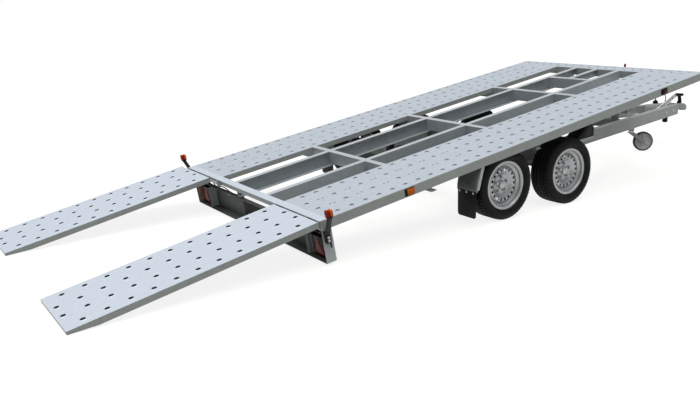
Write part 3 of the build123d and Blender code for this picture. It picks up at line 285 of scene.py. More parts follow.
def joined(*meshes):
    """Several bmeshes, each with an optional matrix, as one."""
    whole = bmesh.new()
    for item in meshes:
        mesh, place = item if isinstance(item, tuple) else (item, None)
        if place is not None:
            mesh.transform(place)
        holder = bpy.data.meshes.new("part")
        mesh.to_mesh(holder)
        mesh.free()
        whole.from_mesh(holder)
        bpy.data.meshes.remove(holder)
    return whole


def plain_mesh(name, made):
    """A bmesh as a mesh."""
    mesh = bpy.data.meshes.new(name)
    made.to_mesh(mesh)
    made.free()
    return mesh


def placed(name, data):
    """An object in the scene."""
    made = bpy.data.objects.new(name, data)
    bpy.context.scene.collection.objects.link(made)
    return made


def piece(name, made, material, body, place=None, replaces=(), smooth=35):
    """A finished piece: its mesh in place, shaded, on its body and instead of its CAD nodes."""
    mesh = plain_mesh(name, made) if isinstance(made, bmesh.types.BMesh) else made
    mesh.name = name
    if place is not None:
        mesh.transform(place)
    if material is not None:
        mesh.materials.clear()
        mesh.materials.append(material)
    mesh.shade_smooth()
    mesh.set_sharp_from_angle(angle=radians(smooth))
    made_object = placed(name, mesh)
    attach(made_object, body)
    if replaces:
        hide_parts(*replaces)
    return made_object


def cad_copy(node, place, *finishes):
    """A merged copy of a CAD node's mesh, taken into the frame that it was drawn in, with its finishes."""
    made = bmesh.new()
    made.from_mesh(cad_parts[node].data)
    bmesh.ops.remove_doubles(made, verts=made.verts, dist=1e-5)
    bmesh.ops.dissolve_limit(made, angle_limit=radians(0.5), verts=made.verts, edges=made.edges)
    made.transform(place.inverted())
    mesh = plain_mesh(node + "_copy", made)
    for finish in finishes:
        mesh.materials.append(finish)
    return mesh


def wire(points, radius):
    """A fixed wire or pipe through the points, eight-sided."""
    curve = bpy.data.curves.new("wire", "CURVE")
    curve.dimensions = "3D"
    curve.bevel_depth, curve.bevel_resolution, curve.use_fill_caps = radius, 2, True
    curve.resolution_u = 6
    spline = curve.splines.new("NURBS")
    spline.points.add(len(points) - 1)
    for point, co in zip(spline.points, points):
        point.co = (*co, 1)
    spline.order_u, spline.use_endpoint_u = 3, True
    holder = bpy.data.objects.new("wire", curve)
    made = bmesh.new()
    mesh = bpy.data.meshes.new_from_object(holder)
    made.from_mesh(mesh)
    bmesh.ops.remove_doubles(made, verts=made.verts, dist=1e-6)
    bmesh.ops.recalc_face_normals(made, faces=made.faces)
    bpy.data.meshes.remove(mesh)
    bpy.data.objects.remove(holder)
    bpy.data.curves.remove(curve)
    return made


# Geometry Nodes

def new_tree(name, inputs):
    """An empty tree with a geometry input, the named inputs and a geometry output."""
    tree = bpy.data.node_groups.new(name, "GeometryNodeTree")
    tree.interface.new_socket("Geometry", in_out="INPUT", socket_type="NodeSocketGeometry")
    for label, kind in inputs.items():
        tree.interface.new_socket(label, in_out="INPUT", socket_type=f"NodeSocket{kind}")
    tree.interface.new_socket("Geometry", in_out="OUTPUT", socket_type="NodeSocketGeometry")
    return tree, add(tree, "NodeGroupInput").outputs


def close_tree(tree, geometry, material, throat=None):
    """Ends a tree: real meshes with their material set, and the one for faces marked as a hole's throat."""
    real = add(tree, "GeometryNodeRealizeInstances", {0: geometry})
    painted = add(tree, "GeometryNodeSetMaterial", {"Geometry": real, "Material": material})
    if throat is not None:
        marked = add(tree, "GeometryNodeInputNamedAttribute", {"Name": "throat"}, data_type="BOOLEAN")
        painted = add(tree, "GeometryNodeSetMaterial", {
            "Geometry": painted, "Selection": marked, "Material": throat})
    add(tree, "NodeGroupOutput", {0: painted})
    return tree


def baked(mesh, tree, values):
    """Runs a tree on a mesh with the given named inputs, and returns the result as a plain mesh."""
    holder = placed("holder", mesh)
    modifier = holder.modifiers.new("nodes", "NODES")
    modifier.node_group = tree
    for socket in tree.interface.items_tree:
        if socket.in_out == "INPUT" and socket.name in values:
            modifier[socket.identifier] = values[socket.name]
    depsgraph = bpy.context.evaluated_depsgraph_get()
    result = bpy.data.meshes.new_from_object(holder.evaluated_get(depsgraph))
    holder.modifiers.remove(modifier)
    bpy.data.objects.remove(holder)
    return result


# A pressed hole's facets, its cut's width in hole radii, and its lip's section, drawn downwards: skirt under
# the plate, throat, crest and foot on the plate. Columns: way out in radii, drop in lip heights, plus a drop
HOLE_SIDES, CUT_WIDTH = 12, 1.12
LIP_SECTION = ((0.0, 0.0, 0.011), (0.0, -0.8, 0.0), (0.15, -1.0, 0.0), (0.50, 0.0, 0.0004))


def pressed_holes_tree(rows):
    """Rows of holes, each with a lip pressed up round it, through a plate that is level at z = 0. A row is
    its place across, in row gaps, whether it is set half a pitch on, and whether every second hole is a pair
    of small ones, as far as the pairs go."""
    tree, given = new_tree("pressed_holes", {
        "First Hole": "Float", "Pitch": "Float", "Holes": "Int", "Row Gap": "Float", "Centre": "Float",
        "Hole Radius": "Float", "Small Radius": "Float", "Lip Height": "Float", "Pairs": "Int",
        "Pair Gap": "Float", "Plate": "Material", "Throat": "Material"})
    half_on = add(tree, "ShaderNodeMath", {0: given["Pitch"], 1: 0.5, 2: given["First Hole"]},
                  operation="MULTIPLY_ADD")
    fewer = add(tree, "ShaderNodeMath", {0: given["Holes"], 1: 1.0}, operation="SUBTRACT")
    step = add(tree, "ShaderNodeCombineXYZ", {"X": given["Pitch"]})
    # In a row with pairs the odd points, up to the last pair, are where the small holes go.
    index = add(tree, "GeometryNodeInputIndex")
    parity = add(tree, "ShaderNodeMath", {0: index, 1: 2.0}, operation="MODULO")
    odd = add(tree, "ShaderNodeMath", {0: parity, 1: 1.0}, operation="COMPARE")
    last = add(tree, "ShaderNodeMath", {0: given["Pairs"], 1: 2.0}, operation="MULTIPLY")
    early = add(tree, "ShaderNodeMath", {0: index, 1: last}, operation="LESS_THAN")
    paired = add(tree, "ShaderNodeMath", {0: odd, 1: early}, operation="MULTIPLY")
    large, small = [], []
    for factor, shifted, with_pairs in rows:
        across = add(tree, "ShaderNodeMath", {0: given["Row Gap"], 1: factor, 2: given["Centre"]},
                     operation="MULTIPLY_ADD")
        start = add(tree, "ShaderNodeCombineXYZ", {
            "X": half_on if shifted else given["First Hole"], "Y": across})
        row = add(tree, "GeometryNodeMeshLine", {
            "Count": fewer if shifted else given["Holes"], "Start Location": start, "Offset": step})
        if not with_pairs:
            large.append(row)
            continue
        split = add(tree, "GeometryNodeSeparateGeometry", {"Geometry": row, "Selection": paired},
                    domain="POINT")
        large.append(split.outputs["Inverted"])
        for part in (-0.5, 0.5):
            aside = add(tree, "ShaderNodeMath", {0: given["Pair Gap"], 1: part}, operation="MULTIPLY")
            shift = add(tree, "ShaderNodeCombineXYZ", {"X": aside})
            small.append(add(tree, "GeometryNodeTransform", {"Geometry": split, "Translation": shift}))

    place, facing = add(tree, "GeometryNodeInputPosition"), add(tree, "GeometryNodeInputNormal")
    outward = add(tree, "ShaderNodeVectorMath", {0: place, 1: facing}, operation="DOT_PRODUCT")

    def drilled(spots, radius, body):
        """Cuts a hole through the body at each of the spots, and returns it with the holes' lips."""
        points = add(tree, "GeometryNodeJoinGeometry", {0: spots})
        wide = add(tree, "ShaderNodeMath", {0: radius, 1: CUT_WIDTH}, operation="MULTIPLY")
        drill = add(tree, "GeometryNodeMeshCylinder", {"Vertices": HOLE_SIDES, "Radius": wide, "Depth": 0.03})
        drills = add(tree, "GeometryNodeInstanceOnPoints", {"Points": points, "Instance": drill})
        real = add(tree, "GeometryNodeRealizeInstances", {0: drills})
        cut = add(tree, "GeometryNodeMeshBoolean", {0: body, 1: real}, operation="DIFFERENCE", solver="EXACT")
        share = add(tree, "ShaderNodeMath", {0: radius, 1: given["Hole Radius"]}, operation="DIVIDE")
        height = add(tree, "ShaderNodeMath", {0: given["Lip Height"], 1: share}, operation="MULTIPLY")
        corners = {}
        for number, (out, lips_down, down) in enumerate(LIP_SECTION, 1):
            x = add(tree, "ShaderNodeMath", {0: radius, 1: out}, operation="MULTIPLY")
            y = add(tree, "ShaderNodeMath", {0: height, 1: lips_down, 2: down}, operation="MULTIPLY_ADD")
            corners[f"Point {number}"] = add(tree, "ShaderNodeCombineXYZ", {"X": x, "Y": y})
        section = add(tree, "GeometryNodeCurvePrimitiveQuadrilateral", corners, mode="POINTS")
        ring = add(tree, "GeometryNodeCurvePrimitiveCircle", {"Resolution": HOLE_SIDES, "Radius": radius})
        lip = add(tree, "GeometryNodeCurveToMesh", {"Curve": ring, "Profile Curve": section})
        limit = add(tree, "ShaderNodeMath", {0: radius, 1: -0.8}, operation="MULTIPLY")
        inward = add(tree, "ShaderNodeMath", {0: outward.outputs["Value"], 1: limit}, operation="LESS_THAN")
        marked = add(tree, "GeometryNodeStoreNamedAttribute", {
            "Geometry": lip, "Name": "throat", "Value": inward}, data_type="BOOLEAN", domain="FACE")
        return cut, add(tree, "GeometryNodeInstanceOnPoints", {"Points": points, "Instance": marked})

    cut, lips = drilled(large, given["Hole Radius"], given["Geometry"])
    parts = [lips]
    if small:
        cut, lips = drilled(small, given["Small Radius"], cut)
        parts.append(lips)
    whole = add(tree, "GeometryNodeJoinGeometry", {0: [*parts, cut]})
    return close_tree(tree, whole, given["Plate"], given["Throat"])


def copies_tree():
    """Copies of a piece round the Y axis."""
    tree, given = new_tree("round_the_axle", {"Copies": "Int", "Finish": "Material"})
    points = add(tree, "GeometryNodeMeshLine", {"Count": given["Copies"], "Offset": (0, 0, 0)})
    step = add(tree, "ShaderNodeMath", {0: tau, 1: given["Copies"]}, operation="DIVIDE")
    index = add(tree, "GeometryNodeInputIndex")
    turn = add(tree, "ShaderNodeMath", {0: index, 1: step}, operation="MULTIPLY")
    angles = add(tree, "ShaderNodeCombineXYZ", {"Y": turn})
    copies = add(tree, "GeometryNodeInstanceOnPoints", {
        "Points": points, "Instance": given["Geometry"], "Rotation": angles})
    return close_tree(tree, copies, given["Finish"])


def vent_holes_tree():
    """A ring of round holes through a turned disc, round the Y axis."""
    tree, given = new_tree("vent_holes", {
        "Copies": "Int", "Ring Radius": "Float", "Hole Radius": "Float", "Finish": "Material"})
    ring = add(tree, "GeometryNodeMeshCircle", {"Vertices": given["Copies"], "Radius": given["Ring Radius"]})
    drill = add(tree, "GeometryNodeMeshCylinder", {
        "Vertices": 14, "Radius": given["Hole Radius"], "Depth": 0.16})
    drills = add(tree, "GeometryNodeInstanceOnPoints", {"Points": ring, "Instance": drill})
    real = add(tree, "GeometryNodeRealizeInstances", {0: drills})
    upright = add(tree, "GeometryNodeTransform", {"Geometry": real, "Rotation": (pi / 2, 0, 0)})
    cut = add(tree, "GeometryNodeMeshBoolean", {0: given["Geometry"], 1: upright},
              operation="DIFFERENCE", solver="EXACT")
    return close_tree(tree, cut, given["Finish"])


def bolts_tree():
    """A washer and a hexagon head on each point, turned to face its way."""
    tree, given = new_tree("bolts", {"Head Width": "Float", "Head Height": "Float", "Finish": "Material"})
    radius = add(tree, "ShaderNodeMath", {0: given["Head Width"], 1: 0.577}, operation="MULTIPLY")
    wide = add(tree, "ShaderNodeMath", {0: given["Head Width"], 1: 0.85}, operation="MULTIPLY")
    lift = add(tree, "ShaderNodeMath", {0: given["Head Height"], 1: 0.5, 2: 0.0015}, operation="MULTIPLY_ADD")
    raised = add(tree, "ShaderNodeCombineXYZ", {"Z": lift})
    head = add(tree, "GeometryNodeMeshCylinder", {
        "Vertices": 6, "Radius": radius, "Depth": given["Head Height"]})
    head = add(tree, "GeometryNodeTransform", {"Geometry": head, "Translation": raised})
    washer = add(tree, "GeometryNodeMeshCylinder", {"Vertices": 12, "Radius": wide, "Depth": 0.004})
    bolt = add(tree, "GeometryNodeJoinGeometry", {0: [head, washer]})
    facing = add(tree, "GeometryNodeInputNamedAttribute", {"Name": "facing"}, data_type="FLOAT_VECTOR")
    turned = add(tree, "FunctionNodeAlignRotationToVector", {"Vector": facing}, axis="Z")
    bolts = add(tree, "GeometryNodeInstanceOnPoints", {
        "Points": given["Geometry"], "Instance": bolt, "Rotation": turned})
    return close_tree(tree, bolts, given["Finish"])


def tread_tree():
    """Rows of tread blocks round the Y axis, in the order of the table of rows."""
    tree, given = new_tree("tread", {
        "Blocks": "Int", "Radius": "Float", "Depth": "Float", "Gap": "Float", "Finish": "Material"})
    spread = add(tree, "ShaderNodeMath", {0: given["Radius"], 1: tau}, operation="MULTIPLY")
    pitch = add(tree, "ShaderNodeMath", {0: spread, 1: given["Blocks"]}, operation="DIVIDE")
    long = add(tree, "ShaderNodeMath", {0: pitch, 1: given["Gap"]}, operation="SUBTRACT")
    step = add(tree, "ShaderNodeMath", {0: tau, 1: given["Blocks"]}, operation="DIVIDE")
    parts = [given["Geometry"]]
    for across, width, drop, lean, shift in TREAD_ROWS:
        size = add(tree, "ShaderNodeCombineXYZ", {"X": given["Depth"], "Y": long, "Z": width})
        rubber = add(tree, "GeometryNodeMeshCube", {"Size": size})
        leaned = add(tree, "GeometryNodeTransform", {
            "Geometry": rubber, "Translation": (-drop, 0, 0), "Rotation": (0.0, lean, 0.0)})
        ring = add(tree, "GeometryNodeMeshCircle", {"Vertices": given["Blocks"], "Radius": given["Radius"]})
        place = add(tree, "GeometryNodeInputPosition")
        outward = add(tree, "FunctionNodeAlignRotationToVector", {"Vector": place}, axis="X")
        blocks = add(tree, "GeometryNodeInstanceOnPoints", {
            "Points": ring, "Instance": leaned, "Rotation": outward})
        turn = add(tree, "ShaderNodeMath", {0: step, 1: shift}, operation="MULTIPLY")
        angles = add(tree, "ShaderNodeCombineXYZ", {"Z": turn})
        spun = add(tree, "GeometryNodeTransform", {
            "Geometry": blocks, "Translation": (0, 0, across), "Rotation": angles})
        parts.append(add(tree, "GeometryNodeTransform", {"Geometry": spun, "Rotation": (pi / 2, 0, 0)}))
    whole = add(tree, "GeometryNodeJoinGeometry", {0: parts})
    return close_tree(tree, whole, given["Finish"])


# Columns: place across the tyre, width, drop below the crown, lean, part of a pitch that it is shifted by
TREAD_ROWS = (
    (0.0665, 0.027, 0.0015, -0.10, 0.0), (0.0325, 0.022, 0.0, 0.0, 0.5),
    (-0.0325, 0.022, 0.0, 0.0, 0.0), (-0.0665, 0.027, 0.0015, 0.10, 0.5))
# Pressed rows as (place across in row gaps, set half a pitch on, with pairs of small holes)
TRACK_ROWS = ((-0.5, False, True), (0.5, False, True), (-1.5, True, False), (1.5, True, False))
STRIP_ROWS = ((-0.5, False, False), (0.5, True, False))
TRACK_HOLES, STRIP_HOLES = pressed_holes_tree(TRACK_ROWS), pressed_holes_tree(STRIP_ROWS)
ROUND_COPIES, VENT_HOLES, BOLTS, TREAD = copies_tree(), vent_holes_tree(), bolts_tree(), tread_tree()


def bolted(name, spots, body, place=None, width=0.017, height=0.008, finish=ZINC_PLATED):
    """Hexagon bolts at (point, facing) spots, as one piece."""
    mesh = bpy.data.meshes.new(name)
    mesh.from_pydata([spot for spot, facing in spots], [], [])
    facing = mesh.attributes.new("facing", "FLOAT_VECTOR", "POINT")
    facing.data.foreach_set("vector", [n for spot, way in spots for n in way])
    made = baked(mesh, BOLTS, {"Head Width": width, "Head Height": height, "Finish": finish})
    return piece(name, made, None, body, place)


# Tracks, ramps and front strip with their pressed holes

def shade_upright_faces(mesh, top, shade_copy):
    """Gives the upright faces of a piece, drawn level, a darker copy of its finish as painted shade, since
    the sky lights level faces more.
    """
    mesh.materials.append(shade_copy)
    for face in mesh.polygons:
        if abs(face.normal.z) < 0.5 and mesh.materials[face.material_index] == top:
            face.material_index = len(mesh.materials) - 1
    return mesh


def perforated(name, node, body, place, tree, plate, throat, pattern):
    """A CAD plate with its pressed holes, as a piece."""
    made = baked(cad_copy(node, place), tree, {
        **pattern, "Small Radius": SMALL_HOLE_R, "Pair Gap": PAIR_GAP, "Plate": plate, "Throat": throat})
    # Its upright faces get the greyer flat-bar zinc as painted shade.
    return piece(name, shade_upright_faces(made, plate, ZINC_RAIL), None, body, place, [node], LIP_SMOOTH)


TRACK_PATTERN = {"First Hole": 0.060, "Pitch": 0.111, "Holes": 34, "Row Gap": ROW_GAP, "Pairs": 6,
                 "Hole Radius": TRACK_HOLE_R, "Lip Height": TRACK_LIP_H}
RAMP_PATTERN = {"First Hole": RAMP_TIP_X + 0.042, "Pitch": 0.1365, "Holes": 12, "Row Gap": ROW_GAP,
                "Pairs": 0, "Hole Radius": HOLE_R, "Lip Height": RAMP_LIP_H}
STRIP_PATTERN = {"First Hole": -0.950, "Pitch": 0.100, "Holes": 20, "Row Gap": 0.055, "Pairs": 0,
                 "Centre": 0.0, "Hole Radius": STRIP_HOLE_R, "Lip Height": STRIP_LIP_H}
# Each hole's throat gets a darker copy of the zinc as painted shade: the web copy on the tracks and strip,
# the throat copy on the ramps.
for name, side in SIDES.items():
    perforated(f"perforated_track_{name}", f"track_{name}", "bed", BED, TRACK_HOLES,
               ZINC_TRACK, ZINC_WEB_SHADE, {**TRACK_PATTERN, "Centre": side * TRACK_Y})
    perforated(f"perforated_ramp_{name}", f"ramp_{name}", f"ramp_{name}", RAMP,
               TRACK_HOLES, ZINC_PLATE, ZINC_THROAT, {**RAMP_PATTERN, "Centre": RAMP_Y[name]})
# The front strip's two columns of holes run across the bed, so they are drawn a quarter turn on.
STRIP = BED @ at(BED_L - FRONT_W / 2 - 0.010, 0, 0) @ about("Z", pi / 2)
perforated("perforated_front_strip", "front_beam", "bed", STRIP, STRIP_HOLES,
           ZINC_TRACK, ZINC_WEB_SHADE, STRIP_PATTERN)

# Beams and cross members have pale flanges over webs darkened as painted shade, and the rear bar's top is as
# pale as the ramps over sides darkened as painted shade
BED_MEMBERS = dict.fromkeys(("bed_beam_left", "bed_beam_right", "bed_cross_members", "front_rib"),
                            (ZINC_BEAM, ZINC_WEB_SHADE)) | {"rear_bar": (ZINC_PLATE, ZINC_BEAM)}
for node, (top, shade_copy) in BED_MEMBERS.items():
    piece(f"galvanised_{node}", shade_upright_faces(cad_copy(node, BED, top), top, shade_copy), None, "bed",
          BED, [node])


# Wheels

def mirrored(points):
    """A half profile with its other half added, in order."""
    return points + [(r, -y) for r, y in reversed(points) if y > 1e-9]


TYRE_HALF = [
    (0.165, 0.0725), (0.1835, 0.0725), (0.1868, 0.080), (0.1905, 0.085), (0.193, 0.0862), (0.196, 0.0905),
    (0.205, 0.0955), (0.2125, 0.0972), (0.220, 0.0968), (0.2225, 0.0975), (0.2245, 0.0962), (0.232, 0.0945),
    (0.240, 0.0918), (0.2465, 0.0882), (0.252, 0.0845), (0.2545, 0.080), (0.2552, 0.044), (0.2552, 0.012),
    (0.2625, 0.0112), (0.2625, 0.0),
]
RIM_LOOP = [
    (0.1825, 0.0775), (0.1832, 0.0755), (0.1822, 0.0738), (0.168, 0.073), (0.1652, 0.070), (0.1645, 0.051),
    (0.146, 0.0385), (0.1455, -0.020), (0.1645, -0.034), (0.1652, -0.070), (0.168, -0.073),
    (0.1822, -0.0738), (0.1825, -0.0775), (0.166, -0.0772), (0.1612, -0.072), (0.1605, -0.037),
    (0.1415, -0.0225), (0.1415, 0.0405), (0.1605, 0.054), (0.1612, 0.072), (0.166, 0.0772),
]
DISC_LOOP = [
    (0.032, 0.022), (0.032, 0.028), (0.072, 0.028), (0.077, 0.030), (0.090, 0.040), (0.098, 0.046),
    (0.106, 0.0495), (0.114, 0.0508), (0.122, 0.050), (0.130, 0.0465), (0.137, 0.0405), (0.1425, 0.036),
    (0.1425, 0.030), (0.135, 0.0345), (0.128, 0.0405), (0.114, 0.0445), (0.102, 0.0415), (0.090, 0.0335),
    (0.080, 0.022),
]
DRUM_LOOP = [
    (0.0185, -0.095), (0.115, -0.095), (0.115, -0.088), (0.112, -0.0865), (0.112, -0.026),
    (0.109, -0.020), (0.068, -0.012), (0.064, -0.006), (0.064, 0.0225), (0.020, 0.0225),
    (0.020, 0.006), (0.0185, 0.006),
]
CAP_LOOP = [
    (0.0, 0.018), (0.019, 0.018), (0.019, 0.0225), (0.032, 0.0225), (0.032, 0.040), (0.030, 0.047),
    (0.024, 0.0505), (0.0, 0.0515),
]


def nut_spots():
    """Five wheel nuts on their circle."""
    return [((0.056 * sin(tau * k / 5), 0.0295, 0.056 * cos(tau * k / 5)), (0, 1, 0)) for k in range(5)]


for end, axle_x in AXLE_X.items():
    for name, side in SIDES.items():
        body = f"wheel_{end}_{name}"
        place = at(DRAWN_X + axle_x, side * WHEEL_Y, AXLE_Z)
        if side < 0:
            place = place @ about("Z", pi)
        carcass = plain_mesh("carcass", lathe(mirrored(TYRE_HALF), 72))
        made = baked(carcass, TREAD, {"Blocks": 56, "Radius": 0.2585, "Depth": 0.0075, "Gap": 0.0055,
                                      "Finish": TYRE_RUBBER})
        piece(f"treaded_tyre_{end}_{name}", made, None, body, place,
              [f"tyre_{end}_{name}"], 28)
        disc = plain_mesh("disc", lathe(DISC_LOOP, 72))
        vented = baked(disc, VENT_HOLES, {"Copies": 18, "Ring Radius": 0.115, "Hole Radius": 0.011,
                                          "Finish": STEEL_ENAMEL})
        rim = lathe(RIM_LOOP, 72)
        rim.from_mesh(vented)
        valve = lathe([(0.0, 0.040), (0.0055, 0.040), (0.0055, 0.062), (0.004, 0.064), (0.004, 0.074),
                       (0.0, 0.074)], 10)
        piece(f"steel_wheel_{end}_{name}", rim, STEEL_ENAMEL, body, place,
              [f"wheel_{end}_{name}"])
        piece(f"brake_drum_{end}_{name}", lathe(DRUM_LOOP, 48), CAST_IRON, body, place)
        piece(f"hub_cap_{end}_{name}", lathe(CAP_LOOP, 32), ZINC_PLATED, body, place)
        piece(f"valve_{end}_{name}", valve, BLACK_RUBBER, body,
              place @ about("Y", 0.5) @ at(0, 0, 0.152))
        bolted(f"wheel_nuts_{end}_{name}", nut_spots(), body, place, 0.019, 0.016, STEEL_ENAMEL)


# Frames for pieces that are drawn along or round another axis than the one they are made on
ALONG_X = about("Z", -pi / 2)
UPRIGHT = about("X", pi / 2)
FACING_BACK = about("Z", pi / 2)


def towards(start, end, y):
    """A frame at one (x, z) point whose X axis runs to another, in the plane at y."""
    (x0, z0), (x1, z1) = start, end
    return at(x0, y, z0) @ about("Y", -atan2(z1 - z0, x1 - x0))


def ribbed(length, crest, valley, ribs, start=0.0):
    """Points of a bellows' or grip's outer side, as (radius, distance)."""
    step = length / ribs
    return [(radius, start + step * (k + part)) for k in range(ribs)
            for part, radius in ((0.1, valley), (0.4, crest), (0.6, crest), (0.9, valley))]


# Lamps

def twins(*blocks):
    """Blocks given on the left as (x, x, y, y, z, z, rounding), with their twins on the right, as one."""
    return joined(*(block(x0, x1, side * y0, side * y1, z0, z1, bevel)
                    for side in SIDES.values() for x0, x1, y0, y1, z0, z1, bevel in blocks))


# Marker heads, side markers and tail lenses: their places along the bed, and their (y, y, z, z, rounding)
HEAD_X, HEAD = -0.0446, (1.130, 1.170, 0.050, 0.094, 0.007)
REAR_MARKER_X, FRONT_MARKER_X, MARKER = 0.650, 3.420, (1.0535, 1.062, -0.0535, -0.0115, 0.0035)
LENS_X, LENS = (-0.0145, -0.008), (-0.299, -0.159, 0.002)
TRIANGLE_Y, TRIANGLE_HALF = 0.893, 0.062
triangles = [(prism([(y - TRIANGLE_HALF, -0.277), (y + TRIANGLE_HALF, -0.277), (y, -0.170)],
                    0.0125, 0.017, 0.0015), FACING_BACK) for y in (TRIANGLE_Y, -TRIANGLE_Y)]
for name, made, finish, slot, replaced in (
        ("marker_head_red", twins((HEAD_X - 0.022, HEAD_X - 0.0005, *HEAD)), RED_LENS, "red_lens",
         ["marker_lamps"]),
        ("marker_head_amber", twins((HEAD_X + 0.0005, HEAD_X + 0.022, *HEAD)), AMBER_LENS, "red_lens", []),
        ("marker_head_base", twins((HEAD_X - 0.019, HEAD_X + 0.019, 1.133, 1.167, 0.042, 0.056, 0.003)),
         BLACK_RUBBER, "black_rubber", []),
        ("side_marker_base", twins(*((x - 0.040, x + 0.040, 1.050, 1.054, -0.0575, -0.0075, 0.0015)
                                     for x in (REAR_MARKER_X, FRONT_MARKER_X))),
         BLACK_PLASTIC, "black_plastic", ["side_markers"]),
        ("side_marker_amber", twins((REAR_MARKER_X - 0.024, REAR_MARKER_X + 0.037, *MARKER)), AMBER_LENS,
         "red_lens", []),
        ("side_marker_red", twins((FRONT_MARKER_X - 0.024, FRONT_MARKER_X + 0.037, *MARKER)), DARK_LENS,
         "red_lens", []),
        ("tail_lamp_housing", twins((-0.009, 0.028, 0.771, 1.011, -0.304, -0.154, 0.005)), BLACK_PLASTIC,
         "black_plastic", ["tail_lamps"]),
        ("tail_lamp_field", twins((-0.0135, -0.008, 0.824, 0.962, *LENS)), DARK_LENS, "red_lens", []),
        ("tail_lamp_triangle", joined(*triangles), RED_LENS, "red_lens", []),
        ("tail_lamp_turn", twins((*LENS_X, 0.966, 1.006, *LENS)), AMBER_LENS, "red_lens", []),
        ("tail_lamp_white", twins((*LENS_X, 0.776, 0.820, *LENS)), CLEAR_LENS, "red_lens", [])):
    piece(name, made, finish, "bed", BED, replaced)
bolted("marker_arm_bolts", [((-0.0136, side * 1.0415, z), (0, side, 0)) for side in SIDES.values()
                            for z in (-0.150, -0.128)], "bed", BED, 0.012, 0.003)

# Mudguards with their rubber flaps

GUARD_WHEEL, GUARD_R, GUARD_T = (1.5643, -0.2917), 0.330, 0.004
GUARD_IN, GUARD_OUT = 0.840, 1.040


def guard_arc(radius, low=-0.240, high=-0.070, steps=14):
    """Points down the guard's curve, as (x, z)."""
    first, last = (asin((z - GUARD_WHEEL[1]) / GUARD_R) for z in (high, low))
    turns = [first + (last - first) * k / steps for k in range(steps + 1)]
    return [(GUARD_WHEEL[0] - radius * cos(a), GUARD_WHEEL[1] + radius * sin(a)) for a in turns]


def rounded_sheet(width, height, corner, steps=6):
    """A hanging sheet's outline with its lower corners rounded, as (across, up) from its top's middle."""
    points = [(width / 2, 0.0)]
    for sign in (1, -1):
        arc = [(sign * (width / 2 - corner + corner * cos(a)), -height + corner - corner * sin(a))
               for a in (pi / 2 * k / steps for k in range(steps + 1))]
        points += arc if sign > 0 else arc[::-1]
    return points + [(-width / 2, 0.0)]


for name, side in SIDES.items():
    outer, inner = guard_arc(GUARD_R + GUARD_T), guard_arc(GUARD_R)
    top_x = inner[0][0] + 0.008
    sheet = prism(outer + inner[::-1] + [(top_x, -0.004), (top_x - 0.006, -0.004)],
                  side * GUARD_IN, side * GUARD_OUT)
    rim = prism(inner + guard_arc(GUARD_R - 0.014)[::-1], side * (GUARD_OUT - 0.0035), side * GUARD_OUT)
    piece(f"guard_sheet_{name}", joined(sheet, rim), DARK_SHEET, "bed", BED,
          [f"mudguard_{name}"])
    hang = BED @ at(inner[-1][0], side * 0.945, -0.234) @ about("Y", TILT)
    piece(f"guard_flap_{name}", prism(rounded_sheet(0.190, 0.200, 0.022), 0.0, 0.006, 0.0015), BLACK_RUBBER,
          "bed", hang @ FACING_BACK)
    bolted(f"flap_bolts_{name}", [((-0.0065, y, -0.012), (-1, 0, 0)) for y in (-0.07, 0.0, 0.07)], "bed",
           hang, 0.010, 0.003)

# Light board: its side plates keep the paler zinc, and its other faces, behind the ramps, get a dark copy as
# painted shade

board = cad_copy("light_board", BED, ZINC_BOARD_SHADE, ZINC_BEAM)
for face in board.polygons:
    face.material_index = int(abs(face.normal.y) > 0.7)
piece("light_board_painted_shade", board, None, "bed", BED, ["light_board"])

# Light board's cables and bolts

looms = []
for side in SIDES.values():
    looms.append(wire([(0.016, side * y, z) for y, z in (
        (0.960, -0.150), (0.955, -0.118), (0.900, -0.105), (0.820, -0.128), (0.700, -0.126), (0.560, -0.100),
        (0.460, -0.126), (0.330, -0.128), (0.230, -0.095), (0.215, -0.080))], 0.0045))
    looms.append(wire([(x, side * y, z) for x, y, z in (
        (0.012, 0.880, -0.155), (0.010, 0.870, -0.095), (0.012, 0.790, -0.080), (0.010, 0.720, -0.110),
        (0.014, 0.700, -0.136))], 0.004))
    looms.append(wire([(x, side * 1.052, z) for x, z in ((-0.0136, -0.158), (-0.013, -0.190))]
                      + [(0.0, side * 1.040, -0.205), (0.010, side * 1.018, -0.180)], 0.0035))
piece("light_board_cables", joined(*looms), BLACK_RUBBER, "bed", BED)
bolted("light_board_bolts", [((0.0275, side * y, z), (-1, 0, 0)) for side in SIDES.values()
                             for y, z in ((0.252, -0.128), (0.500, -0.160), (0.740, -0.160))], "bed", BED,
       0.013, 0.006)

# Overrun housing, its boot and shaft

SHAFT_Z, BELLOWS_X, BELLOWS_L = 0.376, 3.120, 0.100


def member_y(x):
    """How far out a side member's outer side is, at a place forward of where it bends in."""
    return MEMBER_Y - (x - BEND_X) * BEND_SLOPE


shell = [block(2.760, 3.120, -0.045, 0.045, 0.312, 0.428, 0.005),
         block(2.790, 2.950, -0.045, 0.045, 0.427, 0.440, 0.003),
         block(3.085, 3.118, -0.043, 0.043, 0.427, 0.434, 0.002)]
piece("overrun_shell", joined(*shell), ZINC_PLATED, "chassis", CHASSIS, ["overrun_housing"])
shaft = lathe([(0.0, 3.115), (0.025, 3.115), (0.025, 3.278), (0.0, 3.278)], 32)
piece("overrun_shaft", shaft, ZINC_PLATED, "chassis", CHASSIS @ at(0, 0, SHAFT_Z) @ ALONG_X)
bellows = lathe([(0.0255, 0.0), *ribbed(BELLOWS_L, 0.039, 0.031, 7), (0.0255, BELLOWS_L)], 40)
piece("shaft_bellows", bellows, BLACK_RUBBER, "chassis",
      CHASSIS @ at(BELLOWS_X, 0, SHAFT_Z) @ ALONG_X, ["coupling_gaiter"])
boot = lathe([(0.0, 0.0), (0.020, 0.0), (0.026, 0.004), *ribbed(0.070, 0.030, 0.025, 4, 0.010),
              (0.029, 0.090), (0.0, 0.090)], 32)
